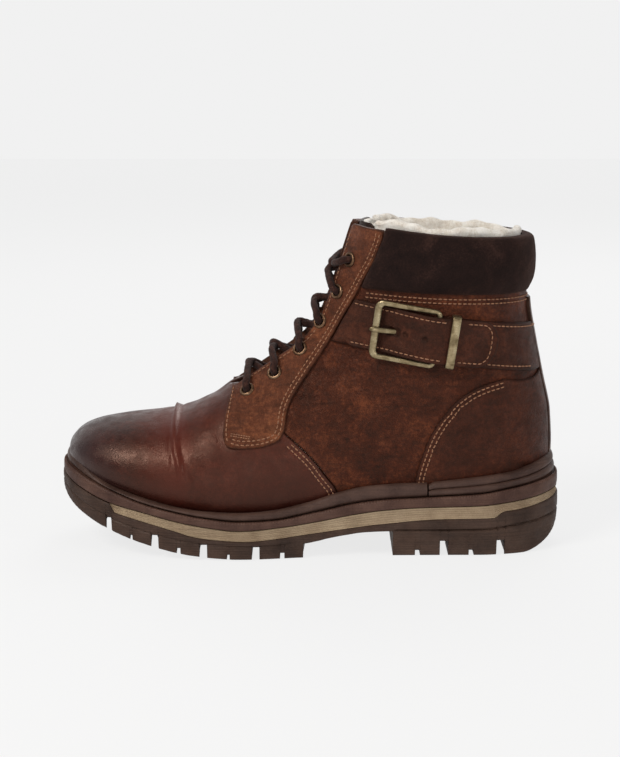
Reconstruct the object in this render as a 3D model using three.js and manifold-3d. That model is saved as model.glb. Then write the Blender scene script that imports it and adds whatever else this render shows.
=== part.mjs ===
// Insulated lace-up ankle boot for the left foot, built as it is made: a cemented sole unit, an upper of
// leather panels over a fleece lining, laces in eyelets, a buckled ankle strap and a zip on the inner side.
// Units are millimetres. +Z is up, the toe points to -X, and the outer side of the foot faces -Y.
import * as THREE from "three";
import { mergeVertices } from "three/addons/utils/BufferGeometryUtils.js";
import Module from "manifold-3d";

const wasm = await Module();
wasm.setup();

// ---------------------------------------------------------------- driving dimensions
const BOOT_LENGTH = 308; // toe bumper to back of heel
const SOLE_WIDTH = 110.6; // across the ball of the foot
const BOOT_HEIGHT = 199; // ground to the front of the collar
const GAP = 0.35; // between neighbouring layers and pieces
const UPPER = 1.8; // vamp and quarter leather
const OVERLAY = 1.6; // eyestays, heel panels, backstay and strap leather
const STIFFENER = 1.1; // toe puff and heel counter
const FLEECE = 4.2; // lining pile and its backing
const COVER = 1.2; // collar suede
const COLLAR_BULGE = 5.2; // collar's padded thickness outside the upper's surface
const FLEECE_RISE = 4.5; // lining above the collar's edge
const TONGUE = 2; // tongue leather and its backing
const TONGUE_FLEECE = 3.4;
const BOARD = 2.4; // insole board
const FOOTBED = 5.5;
const LACE_DIAMETER = 4.2;
const EYELET_BORE = 5.3; // clear hole for the lace
const EYELET_WALL = 0.6;
const EYELET_FLANGE = 9.4;
const EYELET_HEIGHT = 0.9; // flange above the eyestay
const STRAP_WIDTH = 28;
const STRAP = 1.6; // strap leather
const BUCKLE_LENGTH = 37; // between bar centres, along the strap
const KEEPER_WIDTH = 5;
const KEEPER_WALL = 1.1;
const ZIP_TAPE_WIDTH = 12;
const ZIP_TAPE = 0.9;
const ZIP_TOOTH = 2.2; // tooth width along the zip
const ZIP_PITCH = 5.8;
const LUG_GROOVE = 4.6;
const ZIP_SLOT = 12.5; // opening between the quarter's edges

// Pattern sizes: every table below is drawn at these sizes and graded to the boot's own.
const PATTERN = { length: 308, width: 110.6, height: 199 };
const gx = (x) => (x * BOOT_LENGTH) / PATTERN.length;
const gy = (y) => (y * SOLE_WIDTH) / PATTERN.width;
const gz = (z) => (z * BOOT_HEIGHT) / PATTERN.height;
const RAD = Math.PI / 180;

// ---------------------------------------------------------------- curves
// A smooth curve through [x, y] points, cubic between neighbours, that never overshoots them.
function smooth(points) {
  const n = points.length;
  const slope = [];
  for (let i = 0; i < n - 1; i++) {
    slope.push((points[i + 1][1] - points[i][1]) / (points[i + 1][0] - points[i][0]));
  }
  const tangent = [slope[0]];
  for (let i = 1; i < n - 1; i++) {
    const same = slope[i - 1] * slope[i] > 0;
    tangent.push(same ? (2 * slope[i - 1] * slope[i]) / (slope[i - 1] + slope[i]) : 0);
  }
  tangent.push(slope[n - 2]);
  return (x) => {
    let i = 0;
    while (i < n - 2 && x > points[i + 1][0]) i++;
    const [x0, y0] = points[i];
    const [x1, y1] = points[i + 1];
    const h = x1 - x0;
    const t = Math.min(1, Math.max(0, (x - x0) / h));
    const a = y0 * (1 + 2 * t) * (1 - t) ** 2 + y1 * t * t * (3 - 2 * t);
    return a + h * (tangent[i] * t * (1 - t) ** 2 - tangent[i + 1] * t * t * (1 - t));
  };
}
const graded = (points) => smooth(points.map(([x, z]) => [gx(x), gz(z)]));
const lerp = (a, b, t) => a + (b - a) * t;

// ---------------------------------------------------------------- solids
function solidOf(geometry) {
  const g = geometry.clone();
  g.deleteAttribute("normal");
  g.deleteAttribute("uv");
  const merged = mergeVertices(g, 1e-4);
  const mesh = new wasm.Mesh({
    numProp: 3,
    vertProperties: merged.attributes.position.array,
    triVerts: new Uint32Array(merged.index.array),
  });
  return new wasm.Manifold(mesh);
}

// A solid from points and triangles; a surface that was listed inside out is turned.
function solidFrom(points, triangles) {
  const build = (index) => {
    const g = new THREE.BufferGeometry().setFromPoints(points);
    g.setIndex(index);
    return solidOf(g);
  };
  const made = build(triangles);
  if (made.volume() >= 0) return made;
  const turned = [];
  for (let i = 0; i < triangles.length; i += 3) {
    turned.push(triangles[i], triangles[i + 2], triangles[i + 1]);
  }
  return build(turned);
}

// Rings of equal length joined in order, with flat ends, or joined end to start.
function loft(rings, endless = false) {
  const n = rings[0].length;
  const points = rings.flat();
  const triangles = [];
  const spans = endless ? rings.length : rings.length - 1;
  for (let i = 0; i < spans; i++) {
    const a = i * n;
    const b = ((i + 1) % rings.length) * n;
    for (let j = 0; j < n; j++) {
      const k = (j + 1) % n;
      triangles.push(a + j, a + k, b + j, a + k, b + k, b + j);
    }
  }
  if (!endless) {
    const last = (rings.length - 1) * n;
    for (let j = 1; j < n - 1; j++) {
      triangles.push(0, j + 1, j, last, last + j, last + j + 1);
    }
  }
  return solidFrom(points, triangles);
}

// The outline's points, in the side view, pushed through the boot from y0 to y1.
function sidePrism(outline, y0, y1) {
  const shape = new THREE.Shape(outline.map(([x, z]) => new THREE.Vector2(gx(x), gz(z))));
  const g = new THREE.ExtrudeGeometry(shape, { depth: y1 - y0, bevelEnabled: false });
  g.rotateX(Math.PI / 2);
  g.translate(0, y1, 0);
  return solidOf(g);
}

// The outline's [y, z] points, pushed along X from x0 to x1.
function frontPrism(outline, x0, x1) {
  const shape = new THREE.Shape(outline.map(([y, z]) => new THREE.Vector2(y, gz(z))));
  const g = new THREE.ExtrudeGeometry(shape, { depth: x1 - x0, bevelEnabled: false });
  g.rotateX(Math.PI / 2);
  g.rotateZ(Math.PI / 2);
  g.translate(x0, 0, 0);
  return solidOf(g);
}

function box(x0, x1, y0, y1, z0, z1) {
  const g = new THREE.BoxGeometry(x1 - x0, y1 - y0, z1 - z0);
  g.translate((x0 + x1) / 2, (y0 + y1) / 2, (z0 + z1) / 2);
  return solidOf(g);
}

// The largest separate body of a solid: cuts can leave crumbs.
function largest(solid) {
  const bodies = solid.decompose();
  return bodies.reduce((a, b) => (b.volume() > a.volume() ? b : a));
}

const parts = new THREE.Group();
function addPart(name, solid, finish) {
  const mesh = largest(solid).getMesh();
  const g = new THREE.BufferGeometry();
  g.setAttribute("position", new THREE.BufferAttribute(mesh.vertProperties, 3));
  g.setIndex(new THREE.BufferAttribute(mesh.triVerts, 1));
  const part = new THREE.Mesh(g.toNonIndexed(), finish);
  part.geometry.computeVertexNormals();
  part.name = name;
  parts.add(part);
  return part;
}

const finish = (color, roughness, metalness = 0) =>
  new THREE.MeshStandardMaterial({ color, roughness, metalness });
const LEATHER = finish(0x5a2a1c, 0.5);
const SUEDE = finish(0x2c1813, 0.95);
const WOOL = finish(0xe9ddcc, 1);
const RUBBER = finish(0x54392c, 0.7);
const MIDSOLE = finish(0x94826a, 0.75);
const CORD = finish(0x2a211d, 0.8);
const BRASS = finish(0xa89468, 0.35, 1);
const DARK_METAL = finish(0x4a3f33, 0.4, 1);
const BOARD_FINISH = finish(0xb89c76, 0.9);
const TAPE = finish(0x33241d, 0.9);
const FOAM = finish(0xd8c9a0, 1);

// ---------------------------------------------------------------- sole unit
// Half width against the angle round the outline, 0 at the toe and 180 at the heel.
const halfWidth = smooth(
  [
    [0, 0], [13, 19.5], [25, 34], [38, 45.6], [50, 52.2], [62, 55.3], [75, 53.4], [90, 47],
    [105, 43.2], [120, 43.6], [132, 43.8], [142, 41], [151, 35.6], [160, 27], [169, 16], [180, 0],
  ].map(([a, w]) => [a, gy(w)]),
);
// The foot's centre line swings towards the inner side at the toe.
const swing = smooth(
  [[-154, 8], [-113, 5], [-70, 0.8], [-25, -2], [20, -2.5], [86, -1], [154, 0]].map(([x, y]) => [
    gx(x),
    gy(y),
  ]),
);
const groundLine = graded([
  [-154, 33], [-148, 28], [-141, 23.5], [-125, 16], [-111, 11], [-96, 7], [-82, 4], [-67, 1.8],
  [-52, 0.4], [-44, 0], [130, 0], [136, 1.4], [144, 5], [150, 9.5], [154, 14],
]);
const webLine = graded([
  [-154, 38], [-141, 30], [-125, 23.4], [-111, 18.6], [-96, 14.6], [-82, 11.8], [-67, 9.6],
  [-52, 8.2], [-40, 7.6], [-4, 8.8], [15, 12.3], [35, 14.8], [48, 15.2], [76, 15.2], [105, 15.6],
  [131, 18.4], [154, 21],
]);
const midsoleFoot = graded([
  [-119, 25.7], [-102, 21.9], [-82, 17.1], [-69, 13.6], [-57, 12], [-38, 10.9], [-20, 12.1],
  [-5, 13.8], [15, 16.2], [45, 19.6], [76, 22.2], [111, 22.8], [117, 26.4], [127, 27.4], [154, 31.5],
]);
const midsoleTop = graded([
  [-154, 43.4], [-141, 37.6], [-122, 31.2], [-102, 27.3], [-82, 23], [-63, 19.6], [-43, 17.3],
  [-15, 19.1], [5, 21.8], [25, 25.2], [45, 27.8], [65, 29.2], [101, 30.2], [127, 32.6], [154, 36],
]);
const weltTop = graded([
  [-154, 50.5], [-148, 48.6], [-133, 42.8], [-117, 37.4], [-102, 32.6], [-82, 28.4], [-62, 25],
  [-43, 23], [-23, 23.4], [5, 28], [25, 32], [45, 34.5], [69, 35.8], [101, 37.6], [125, 41],
  [154, 45],
]);
const randTop = graded([
  [-154, 57], [-147, 54.4], [-134, 46.4], [-123, 41], [-103, 35.2], [-83, 30.9], [-63, 28.5],
  [-43, 27.6], [-22, 28.6], [1, 33.3], [17, 38.4], [35, 42.2], [55, 43.7], [69, 44.2], [101, 47.4],
  [127, 50.5], [154, 57],
]);
const MIDSOLE_START = gx(-120);
const HEEL_BREAST = gx(50);
const FOREFOOT_END = gx(-4);
const RAND_SPLIT = gx(71);
const INSET = { outsole: 0, midsole: 1.4, welt: 0.9, rand: 3.2 };
const FAR = 400; // further than any part of the boot

// A point of the sole's outline on one side, at an angle, moved inwards by inset.
function outlinePoint(angle, side, inset) {
  const at = (a) => {
    const x = (-Math.cos(a * RAD) * BOOT_LENGTH) / 2;
    return new THREE.Vector2(x, swing(x) + side * halfWidth(a));
  };
  if (angle <= 0 || angle >= 180) {
    const tip = at(angle);
    tip.x += angle <= 0 ? inset : -inset;
    return tip;
  }
  const step = 0.4;
  const along = at(Math.min(180, angle + step)).sub(at(Math.max(0, angle - step))).normalize();
  const inward = new THREE.Vector2(along.y, -along.x).multiplyScalar(side * inset);
  return at(angle).add(inward);
}

const SOLE_ANGLES = [
  0, 5, 10, 16, 23, 30, 38, 46, 54, 62, 70, 78, 86, 94, 102, 110, 118, 126, 134, 142, 149, 156, 162,
  168, 174, 180,
];

// A slab inside the sole's outline, between two lines of the side view.
function slab(inset, lower, upper) {
  const rings = SOLE_ANGLES.map((a) => {
    const left = outlinePoint(a, -1, inset);
    const right = outlinePoint(a, 1, inset);
    return [
      new THREE.Vector3(left.x, left.y, lower(left.x)),
      new THREE.Vector3(right.x, right.y, lower(right.x)),
      new THREE.Vector3(right.x, right.y, upper(right.x)),
      new THREE.Vector3(left.x, left.y, upper(left.x)),
    ];
  });
  return loft(rings);
}

const raised = (line, by) => (x) => line(x) + by;

// Grooves across the tread: [centre, width, depth] in the side view.
const GROOVES = [
  [-122, 3.6, 12], [-108, 1.6, 3], [-93.5, LUG_GROOVE, 12], [-79, 2.4, 3.5], [-64, LUG_GROOVE, 12],
  [-49, 1.6, 3], [-32.5, LUG_GROOVE, 12], [-16.5, 2.6, 3.5], [65, 3, 3.2], [81, 5, 9],
  [97.5, 3, 3.2], [115.5, 5, 9],
];

const CHANNEL = 4; // grooves along the tread
function makeOutsole() {
  const outset = -6; // cutters run past the outline
  const block = slab(INSET.outsole, groundLine, midsoleTop);
  const underMidsole = slab(outset, midsoleFoot, raised(midsoleTop, 9));
  const behindBumper = box(MIDSOLE_START, FAR, -FAR, FAR, -FAR, FAR);
  const waist = box(FOREFOOT_END, HEEL_BREAST, -FAR, FAR, -FAR, FAR);
  const underWeb = slab(outset, (x) => groundLine(x) - 9, webLine);
  let sole = block.subtract(underMidsole.intersect(behindBumper)).subtract(underWeb.intersect(waist));
  for (const [x, width, depth] of GROOVES) {
    const top = Math.min(groundLine(gx(x)) + depth, webLine(gx(x)));
    sole = sole.subtract(box(gx(x) - width / 2, gx(x) + width / 2, -FAR, FAR, -FAR, top));
  }
  const half = CHANNEL / 2;
  for (const y of [-17, 17]) {
    sole = sole.subtract(box(gx(-121), FOREFOOT_END, gy(y) - half, gy(y) + half, -FAR, gz(6.3)));
  }
  for (const y of [-14, 14]) {
    sole = sole.subtract(box(HEEL_BREAST, gx(113), gy(y) - half, gy(y) + half, -FAR, gz(6.3)));
  }
  return sole;
}

addPart("outsole", makeOutsole(), RUBBER);

const midsoleSolid = slab(INSET.midsole, raised(midsoleFoot, GAP), midsoleTop);
const aheadOfMidsole = box(-FAR, MIDSOLE_START + 1, -FAR, FAR, -FAR, FAR);
addPart("midsole", midsoleSolid.subtract(aheadOfMidsole), MIDSOLE);

// ---------------------------------------------------------------- the upper's surface
// Sections from the toe to the top of the shaft. Each runs from the sole or the heel's back line to the
// ridge over the instep: back x, back z (ON_SOLE where the section stands on the sole), ridge x,
// ridge z, half width, where it is widest as a share of its height, and the angle at its lower edge.
const ON_SOLE = null;
const STATIONS = [
  [-149, ON_SOLE, -149, 50, 0.01, 0.3, 66],
  [-147.4, ON_SOLE, -149, 58.5, 12.8, 0.3, 66],
  [-142.4, ON_SOLE, -144.4, 66.4, 23.6, 0.3, 66],
  [-131, ON_SOLE, -132.5, 73.2, 35, 0.3, 66],
  [-113, ON_SOLE, -114, 77.2, 43.4, 0.3, 65],
  [-92, ON_SOLE, -93, 79.8, 47.6, 0.3, 64],
  [-70, ON_SOLE, -73, 84.3, 48.6, 0.3, 63],
  [-48, ON_SOLE, -59, 91.2, 47.4, 0.3, 62],
  [-25, ON_SOLE, -48, 99, 45, 0.3, 60],
  [0, ON_SOLE, -39, 105.8, 42.2, 0.3, 58],
  [27, ON_SOLE, -31, 112.4, 40.2, 0.3, 57],
  [56, ON_SOLE, -23, 119, 39.2, 0.3, 57],
  [86, ON_SOLE, -15, 125.6, 38.8, 0.3, 57],
  [112, ON_SOLE, -8, 132, 38.4, 0.3, 53],
  [134, ON_SOLE, -2, 138.4, 39, 0.34, 36],
  [146.5, ON_SOLE, 3, 144.6, 39.6, 0.4, 0],
  [147.5, 62, 7.6, 152.4, 39.8, 0.43, 0],
  [146.4, 82, 11.6, 161, 40, 0.45, 0],
  [142.2, 102, 15, 169.6, 40.1, 0.47, 0],
  [137.2, 126, 18.4, 178.6, 40.4, 0.49, 0],
  [133, 150, 21.4, 187, 40.8, 0.5, 0],
  [131.6, 172, 24, 194.4, 41.4, 0.5, 0],
  [131, 190, 26, 200, 42, 0.5, 0],
  [130.6, 200, 27.6, 206, 42.2, 0.5, 0],
];
const LAST_STATION = STATIONS.length - 1;
const HEEL_CORNER = 15; // the first section that is a closed loop
const columns = [0, 1, 2, 3, 4, 5, 6].map((c) =>
  smooth(
    STATIONS.map((s, k) => {
      if (c === 1) return [k, s[1] === ON_SOLE ? weltTop(gx(s[0])) + GAP : gz(s[1])];
      if (c === 0 || c === 2) return [k, gx(s[c])];
      if (c === 3) return [k, gz(s[c])];
      if (c === 4) return [k, gy(s[c])];
      return [k, s[c]];
    }),
  ),
);
const SWING_FADES = [gz(60), gz(140)]; // the shaft stands straight above the swung foot

// A point of the bare surface. across runs from -1, the outer lower edge, over 0, the ridge, to 1.
function surfacePoint(station, across) {
  const [bx, bz, fx, fz, wide, share, lowest] = columns.map((c) => c(station));
  const start = lowest * RAD;
  const girth = across * (Math.PI - start);
  const height = Math.hypot(fx - bx, fz - bz);
  const below = (share * height) / Math.cos(start);
  const turn = Math.cos(girth);
  const along =
    turn < 0 ? below * (Math.cos(start) + turn) : share * height + (1 - share) * height * turn;
  const t = height > 0 ? along / height : 0;
  const x = lerp(bx, fx, t);
  const z = lerp(bz, fz, t);
  const [low, high] = SWING_FADES;
  const fade = THREE.MathUtils.smoothstep(z, low, high);
  return new THREE.Vector3(x, swing(x) * (1 - fade) + wide * Math.sin(girth), z);
}

function surfaceNormal(station, across) {
  const step = 0.02;
  const k = THREE.MathUtils.clamp(station, step, LAST_STATION - step);
  const alongPath = surfacePoint(k + step, across).sub(surfacePoint(k - step, across));
  const round = surfacePoint(k, across + step).sub(surfacePoint(k, across - step));
  return alongPath.cross(round).normalize();
}

// A point at a distance outside the surface; inside is negative.
function skin(station, across, offset = 0) {
  return surfacePoint(station, across).addScaledVector(surfaceNormal(station, across), offset);
}

// Where a point of the side view lies on one side's surface: [station, across].
function locate(x, z, side) {
  let best = [0, 0, Infinity];
  for (let k = 0.5; k <= LAST_STATION; k += 0.5) {
    for (let a = 0.04; a <= 1; a += 0.04) {
      const p = surfacePoint(k, side * a);
      const miss = (p.x - x) ** 2 + (p.z - z) ** 2;
      if (miss < best[2]) best = [k, a, miss];
    }
  }
  let [k, a] = best;
  const step = 0.01;
  for (let i = 0; i < 12; i++) {
    const p = surfacePoint(k, side * a);
    const pk = surfacePoint(k + step, side * a).sub(p);
    const pa = surfacePoint(k, side * (a + step)).sub(p);
    const det = pk.x * pa.z - pk.z * pa.x;
    if (Math.abs(det) < 1e-9) break;
    const ex = (x - p.x) * step;
    const ez = (z - p.z) * step;
    k = THREE.MathUtils.clamp(k + (ex * pa.z - ez * pa.x) / det, 0.1, LAST_STATION - step);
    a = THREE.MathUtils.clamp(a + (ez * pk.x - ex * pk.z) / det, 0.005, 1);
  }
  return [k, side * a];
}

const SHELL_STATIONS = [
  0, 0.5, 1, 1.6, 2.3, 3, 4, 5, 6, 7, 8, 9, 10, 11, 13, 14, 15, 16, 18, 19, 20, 21, 22, 23,
];
const SHELL_ACROSS = 8; // facets from the ridge to the lower edge

// The closed layer between two distances from the surface, open at the sole and at the top.
function shell(inner, outer) {
  const points = [];
  const triangles = [];
  const distance = (d, k, a) => (typeof d === "function" ? d(surfacePoint(k, a)) : d);
  const count = 2 * SHELL_ACROSS + 1;
  const acrossAt = (j) => (j - SHELL_ACROSS) / SHELL_ACROSS;
  for (const d of [inner, outer]) {
    for (const k of SHELL_STATIONS) {
      for (let j = 0; j < count; j++) {
        // the back line is one line, and so is the toe's tip
        const onBack = k >= HEEL_CORNER && j === count - 1;
        const a = k === 0 ? 0 : acrossAt(onBack ? 0 : j);
        points.push(skin(k, a, distance(d, k, a)));
      }
    }
  }
  const rows = SHELL_STATIONS.length;
  const at = (layer, i, j) => (layer * rows + i) * count + j;
  const quad = (a, b, c, d) => triangles.push(a, b, c, a, c, d);
  for (let i = 0; i < rows - 1; i++) {
    for (let j = 0; j < count - 1; j++) {
      quad(at(1, i, j + 1), at(1, i + 1, j + 1), at(1, i + 1, j), at(1, i, j));
      quad(at(0, i + 1, j), at(0, i + 1, j + 1), at(0, i, j + 1), at(0, i, j));
    }
    if (SHELL_STATIONS[i] < HEEL_CORNER) {
      const last = count - 1;
      quad(at(0, i, 0), at(1, i, 0), at(1, i + 1, 0), at(0, i + 1, 0));
      quad(at(0, i, last), at(0, i + 1, last), at(1, i + 1, last), at(1, i, last));
    }
  }
  for (let j = 0; j < count - 1; j++) {
    const i = rows - 1;
    quad(at(0, i, j), at(1, i, j), at(1, i, j + 1), at(0, i, j + 1));
  }
  return solidFrom(points, triangles);
}

// Everything inside the surface at a distance, closed at the sole and at the top.
function envelope(distance) {
  const rings = SHELL_STATIONS.filter((k) => k > 0).map((k) => {
    const ring = [];
    for (let j = -SHELL_ACROSS; j <= SHELL_ACROSS; j++) {
      const last = k >= HEEL_CORNER && j === SHELL_ACROSS;
      ring.push(skin(k, last ? -1 : j / SHELL_ACROSS, distance));
    }
    return ring;
  });
  return loft(rings);
}

// ---------------------------------------------------------------- layers, from the inside out
const LAYER = { upper: [-GAP - UPPER, -GAP], overlay: [0, OVERLAY] };
LAYER.stiffener = [LAYER.upper[0] - GAP - STIFFENER, LAYER.upper[0] - GAP];
LAYER.lining = [LAYER.stiffener[0] - GAP - FLEECE, LAYER.stiffener[0] - GAP];

// A closed layer with a cavity that runs out through the sole: thick layers close over the toe.
function hollow([inner, outer], firstStation) {
  const drop = 30;
  const rings = SHELL_STATIONS.filter((k) => k >= firstStation).map((k) => {
    const ring = [];
    for (let j = -SHELL_ACROSS; j <= SHELL_ACROSS; j++) {
      const last = k >= HEEL_CORNER && j === SHELL_ACROSS;
      ring.push(skin(k, last ? -1 : j / SHELL_ACROSS, inner));
    }
    const fall = k < HEEL_CORNER ? drop : 0;
    const first = ring[0].clone();
    const final = ring[ring.length - 1].clone();
    first.z -= fall;
    final.z -= fall;
    return [first, ...ring, final];
  });
  return envelope(outer).subtract(loft(rings));
}

const upperShell = shell(...LAYER.upper);
const overlayShell = shell(...LAYER.overlay);
const stiffenerShell = shell(...LAYER.stiffener);
const liningShell = hollow(LAYER.lining, 1);

// ---------------------------------------------------------------- welt, shank and rand
const weltSolid = slab(INSET.welt, raised(midsoleTop, GAP), weltTop);
const SHANK = { start: gx(-20), end: gx(92), width: 14, thickness: 1.6 };
function shankBlank(grow) {
  const deep = raised(weltTop, -SHANK.thickness - GAP - grow);
  const wide = SHANK.width / 2 + grow;
  const strip = box(SHANK.start - grow, SHANK.end + grow, -wide, wide, -FAR, FAR);
  return slab(4, deep, raised(weltTop, grow > 0 ? 3 : -GAP)).intersect(strip);
}
addPart("welt", weltSolid.subtract(shankBlank(GAP)), RUBBER);
addPart("shank", shankBlank(0), DARK_METAL);

const randRing = slab(INSET.rand, raised(weltTop, GAP), randTop).subtract(envelope(GAP));
const aheadOfSplit = box(-FAR, RAND_SPLIT, -FAR, FAR, -FAR, FAR);
const behindSplit = box(RAND_SPLIT + GAP, FAR, -FAR, FAR, -FAR, FAR);
addPart("rand_front", randRing.intersect(aheadOfSplit), RUBBER);
addPart("rand_heel", randRing.intersect(behindSplit), RUBBER);

// ---------------------------------------------------------------- insole board and footbed
const soleLayer = (inset, low, high) =>
  slab(0, raised(weltTop, low), raised(weltTop, high)).intersect(envelope(-inset));
const boardTop = GAP + BOARD;
const liningFoot = boardTop + GAP;
const footbedTop = liningFoot + FOOTBED;
const aboveBoard = (solid) => solid.subtract(slab(0, raised(weltTop, -9), raised(weltTop, liningFoot)));
addPart("insole_board", soleLayer(GAP - LAYER.upper[0], GAP, boardTop), BOARD_FINISH);
addPart("footbed", soleLayer(GAP - LAYER.lining[0], liningFoot, footbedTop), WOOL);

// ---------------------------------------------------------------- pattern pieces, as outlines of the side view
const OUTER_SIDE = [-FAR, -GAP / 2];
const INNER_SIDE = [GAP / 2, FAR];
const BOTH_SIDES = [-FAR, FAR];
const seam = {
  vamp: [[22, 20], [16, 40], [9, 49], [2, 58.7], [-8, 68.3], [-16, 75], [-30, 92], [-60, 128]],
  eyestayRear: [
    [-18, 70.7], [-15, 76.9], [-14, 85.8], [-12, 91.7], [-8, 98.6], [-3, 105.9], [5, 117],
    [13, 129], [19, 140.2], [27, 154.3], [33, 166.2], [39, 177.2], [43.6, 190], [44, 197],
  ],
  eyestayFront: [
    [-90, 140], [-46, 100], [-50, 87], [-52, 77], [-52, 71], [-50, 66], [-43, 65.2], [-31, 65.9],
    [-23, 68],
  ],
  heelPanel: [
    [62, 30], [63.5, 46], [65.5, 54.7], [69, 65.2], [73, 74.5], [79.4, 84.6], [85.6, 92.6],
    [94, 99.6], [104, 104.2], [116, 107], [200, 108],
  ],
  collarFoot: [[26, 160.6], [75, 158.4], [200, 154.5]],
  collarTop: [[-20, 199.6], [43, 197.4], [60, 195.6], [85, 193.3], [112, 191.8], [200, 188]],
};
const moved = (points, dx, dz) => points.map(([x, z]) => [x + dx, z + dz]);
const backwards = (points) => [...points].reverse();
const below = (line, dz = 0) => [...moved(line, 0, dz), [200, 0], [-200, 0], [-200, line[0][1] + dz]];
const UNDERLAP = 5; // quarter under the collar's lower edge

// The throat over the tongue, and wider wedges of the same kind.
const THROAT = { foot: 99, footHalf: 13.5, topHalf: 10.5 };
function wedge(grow, foot = THROAT.foot) {
  const low = THROAT.footHalf + grow;
  const high = THROAT.topHalf + grow;
  const outline = [[-low, foot], [low, foot], [low, THROAT.foot + 22], [high, 165], [high, 240]];
  const mirrored = [[-high, 240], [-high, 165], [-low, THROAT.foot + 22]];
  return frontPrism([...outline, ...mirrored], -FAR, gx(62));
}
const throat = wedge(0);

// ---------------------------------------------------------------- eyelet places
const EYELETS = [[-37.5, 97], [-21, 107.4], [-5.5, 121.5], [7, 138.1], [17.5, 156.8], [25, 176.5]];
const SIDES = { lateral: -1, medial: 1 };
// A frame on the surface: its origin, the way out and two ways along the surface.
function seatOn(x, z, side) {
  const [k, a] = locate(gx(x), gz(z), side);
  const out = surfaceNormal(k, a);
  const up = new THREE.Vector3(0, 0, 1).addScaledVector(out, -out.z).normalize();
  return { k, a, origin: skin(k, a), out, up, along: out.clone().cross(up) };
}
function placed(geometry, { origin, out, up, along }, offset = 0) {
  const m = new THREE.Matrix4().makeBasis(along, out, up);
  m.setPosition(origin.clone().addScaledVector(out, offset));
  return solidOf(geometry.clone().applyMatrix4(m));
}
const ringProfile = (points) => points.map(([r, y]) => new THREE.Vector2(r, y));
const seats = [];
for (const [sideName, side] of Object.entries(SIDES)) {
  EYELETS.forEach(([x, z], row) => seats.push({ sideName, side, row, ...seatOn(x, z, side) }));
}
const pierce = (solid, holeDiameter) => {
  const pin = new THREE.CylinderGeometry(holeDiameter / 2, holeDiameter / 2, 12, 10);
  return seats.reduce((left, seat) => left.subtract(placed(pin, seat)), solid);
};
const BARREL = EYELET_BORE + 2 * EYELET_WALL;
const EYELET_CLEARANCE = 0.9; // on the diameter

// ---------------------------------------------------------------- zip line
// A straight run down the inner side. Everything in the zip is measured from it.
const ZIP = { top: [77, 190], foot: [58, 74] };
const zipTop = skin(...locate(gx(ZIP.top[0]), gz(ZIP.top[1]), 1));
const zipFoot = skin(...locate(gx(ZIP.foot[0]), gz(ZIP.foot[1]), 1));
const zipDown = zipFoot.clone().sub(zipTop).normalize();
const zipOut = new THREE.Vector3(0, 1, 0).addScaledVector(zipDown, -zipDown.y).normalize();
const zipSide = zipDown.clone().cross(zipOut).normalize();
const zipLength = zipTop.distanceTo(zipFoot);

// The side-view strip along the zip between two distances to its side, past its ends by so much.
function zipStrip(from, to, above, beneath) {
  const line = new THREE.Vector2(zipDown.x, zipDown.z).normalize();
  const side = new THREE.Vector2(-line.y, line.x);
  const top = new THREE.Vector2(zipTop.x, zipTop.z).addScaledVector(line, -above);
  const foot = new THREE.Vector2(zipFoot.x, zipFoot.z).addScaledVector(line, beneath);
  const corners = [
    top.clone().addScaledVector(side, from),
    foot.clone().addScaledVector(side, from),
    foot.clone().addScaledVector(side, to),
    top.clone().addScaledVector(side, to),
  ];
  const shape = new THREE.Shape(corners);
  const g = new THREE.ExtrudeGeometry(shape, { depth: FAR, bevelEnabled: false });
  g.rotateX(Math.PI / 2);
  g.translate(0, FAR, 0);
  return solidOf(g);
}
const zipSlot = zipStrip(-ZIP_SLOT / 2, ZIP_SLOT / 2, 60, 3);
const beside = 260; // wide enough to take everything to one side of the zip
const behindZip = zipStrip(GAP / 2, beside, 60, 200);
const aheadOfZip = zipStrip(-beside, -GAP / 2, 60, 200);

// ---------------------------------------------------------------- leather upper
const vampOutline = [[-200, 0], ...seam.vamp, [-200, 128]];
const quarterOutline = [
  [200, 0],
  ...moved(seam.vamp, GAP, 0),
  [-60, 230],
  [26, 230],
  ...moved(seam.collarFoot, 0, UNDERLAP),
];
const bodyShell = upperShell.subtract(throat);
const body = pierce(bodyShell, BARREL + EYELET_CLEARANCE);
const CAP_FOLD = [[-84.5, 95], [-84.5, 78], [-83.6, 67.4], [-81.4, 58.2], [-79, 48], [-76, 30]];
const foldStrip = sidePrism([...CAP_FOLD, ...backwards(moved(CAP_FOLD, 4.5, 0))], ...BOTH_SIDES);
const fold = shell(-1, 1.3).intersect(foldStrip).subtract(slab(0, raised(weltTop, -9), raised(randTop, 1.4)));
addPart("vamp", body.intersect(sidePrism(vampOutline, ...BOTH_SIDES)).add(fold), LEATHER);
const quarterBlank = sidePrism(quarterOutline, ...OUTER_SIDE);
addPart("quarter_lateral", body.intersect(quarterBlank), LEATHER);
const innerQuarter = body.intersect(sidePrism(quarterOutline, ...INNER_SIDE)).subtract(zipSlot);
addPart("quarter_medial", innerQuarter, LEATHER);

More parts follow.
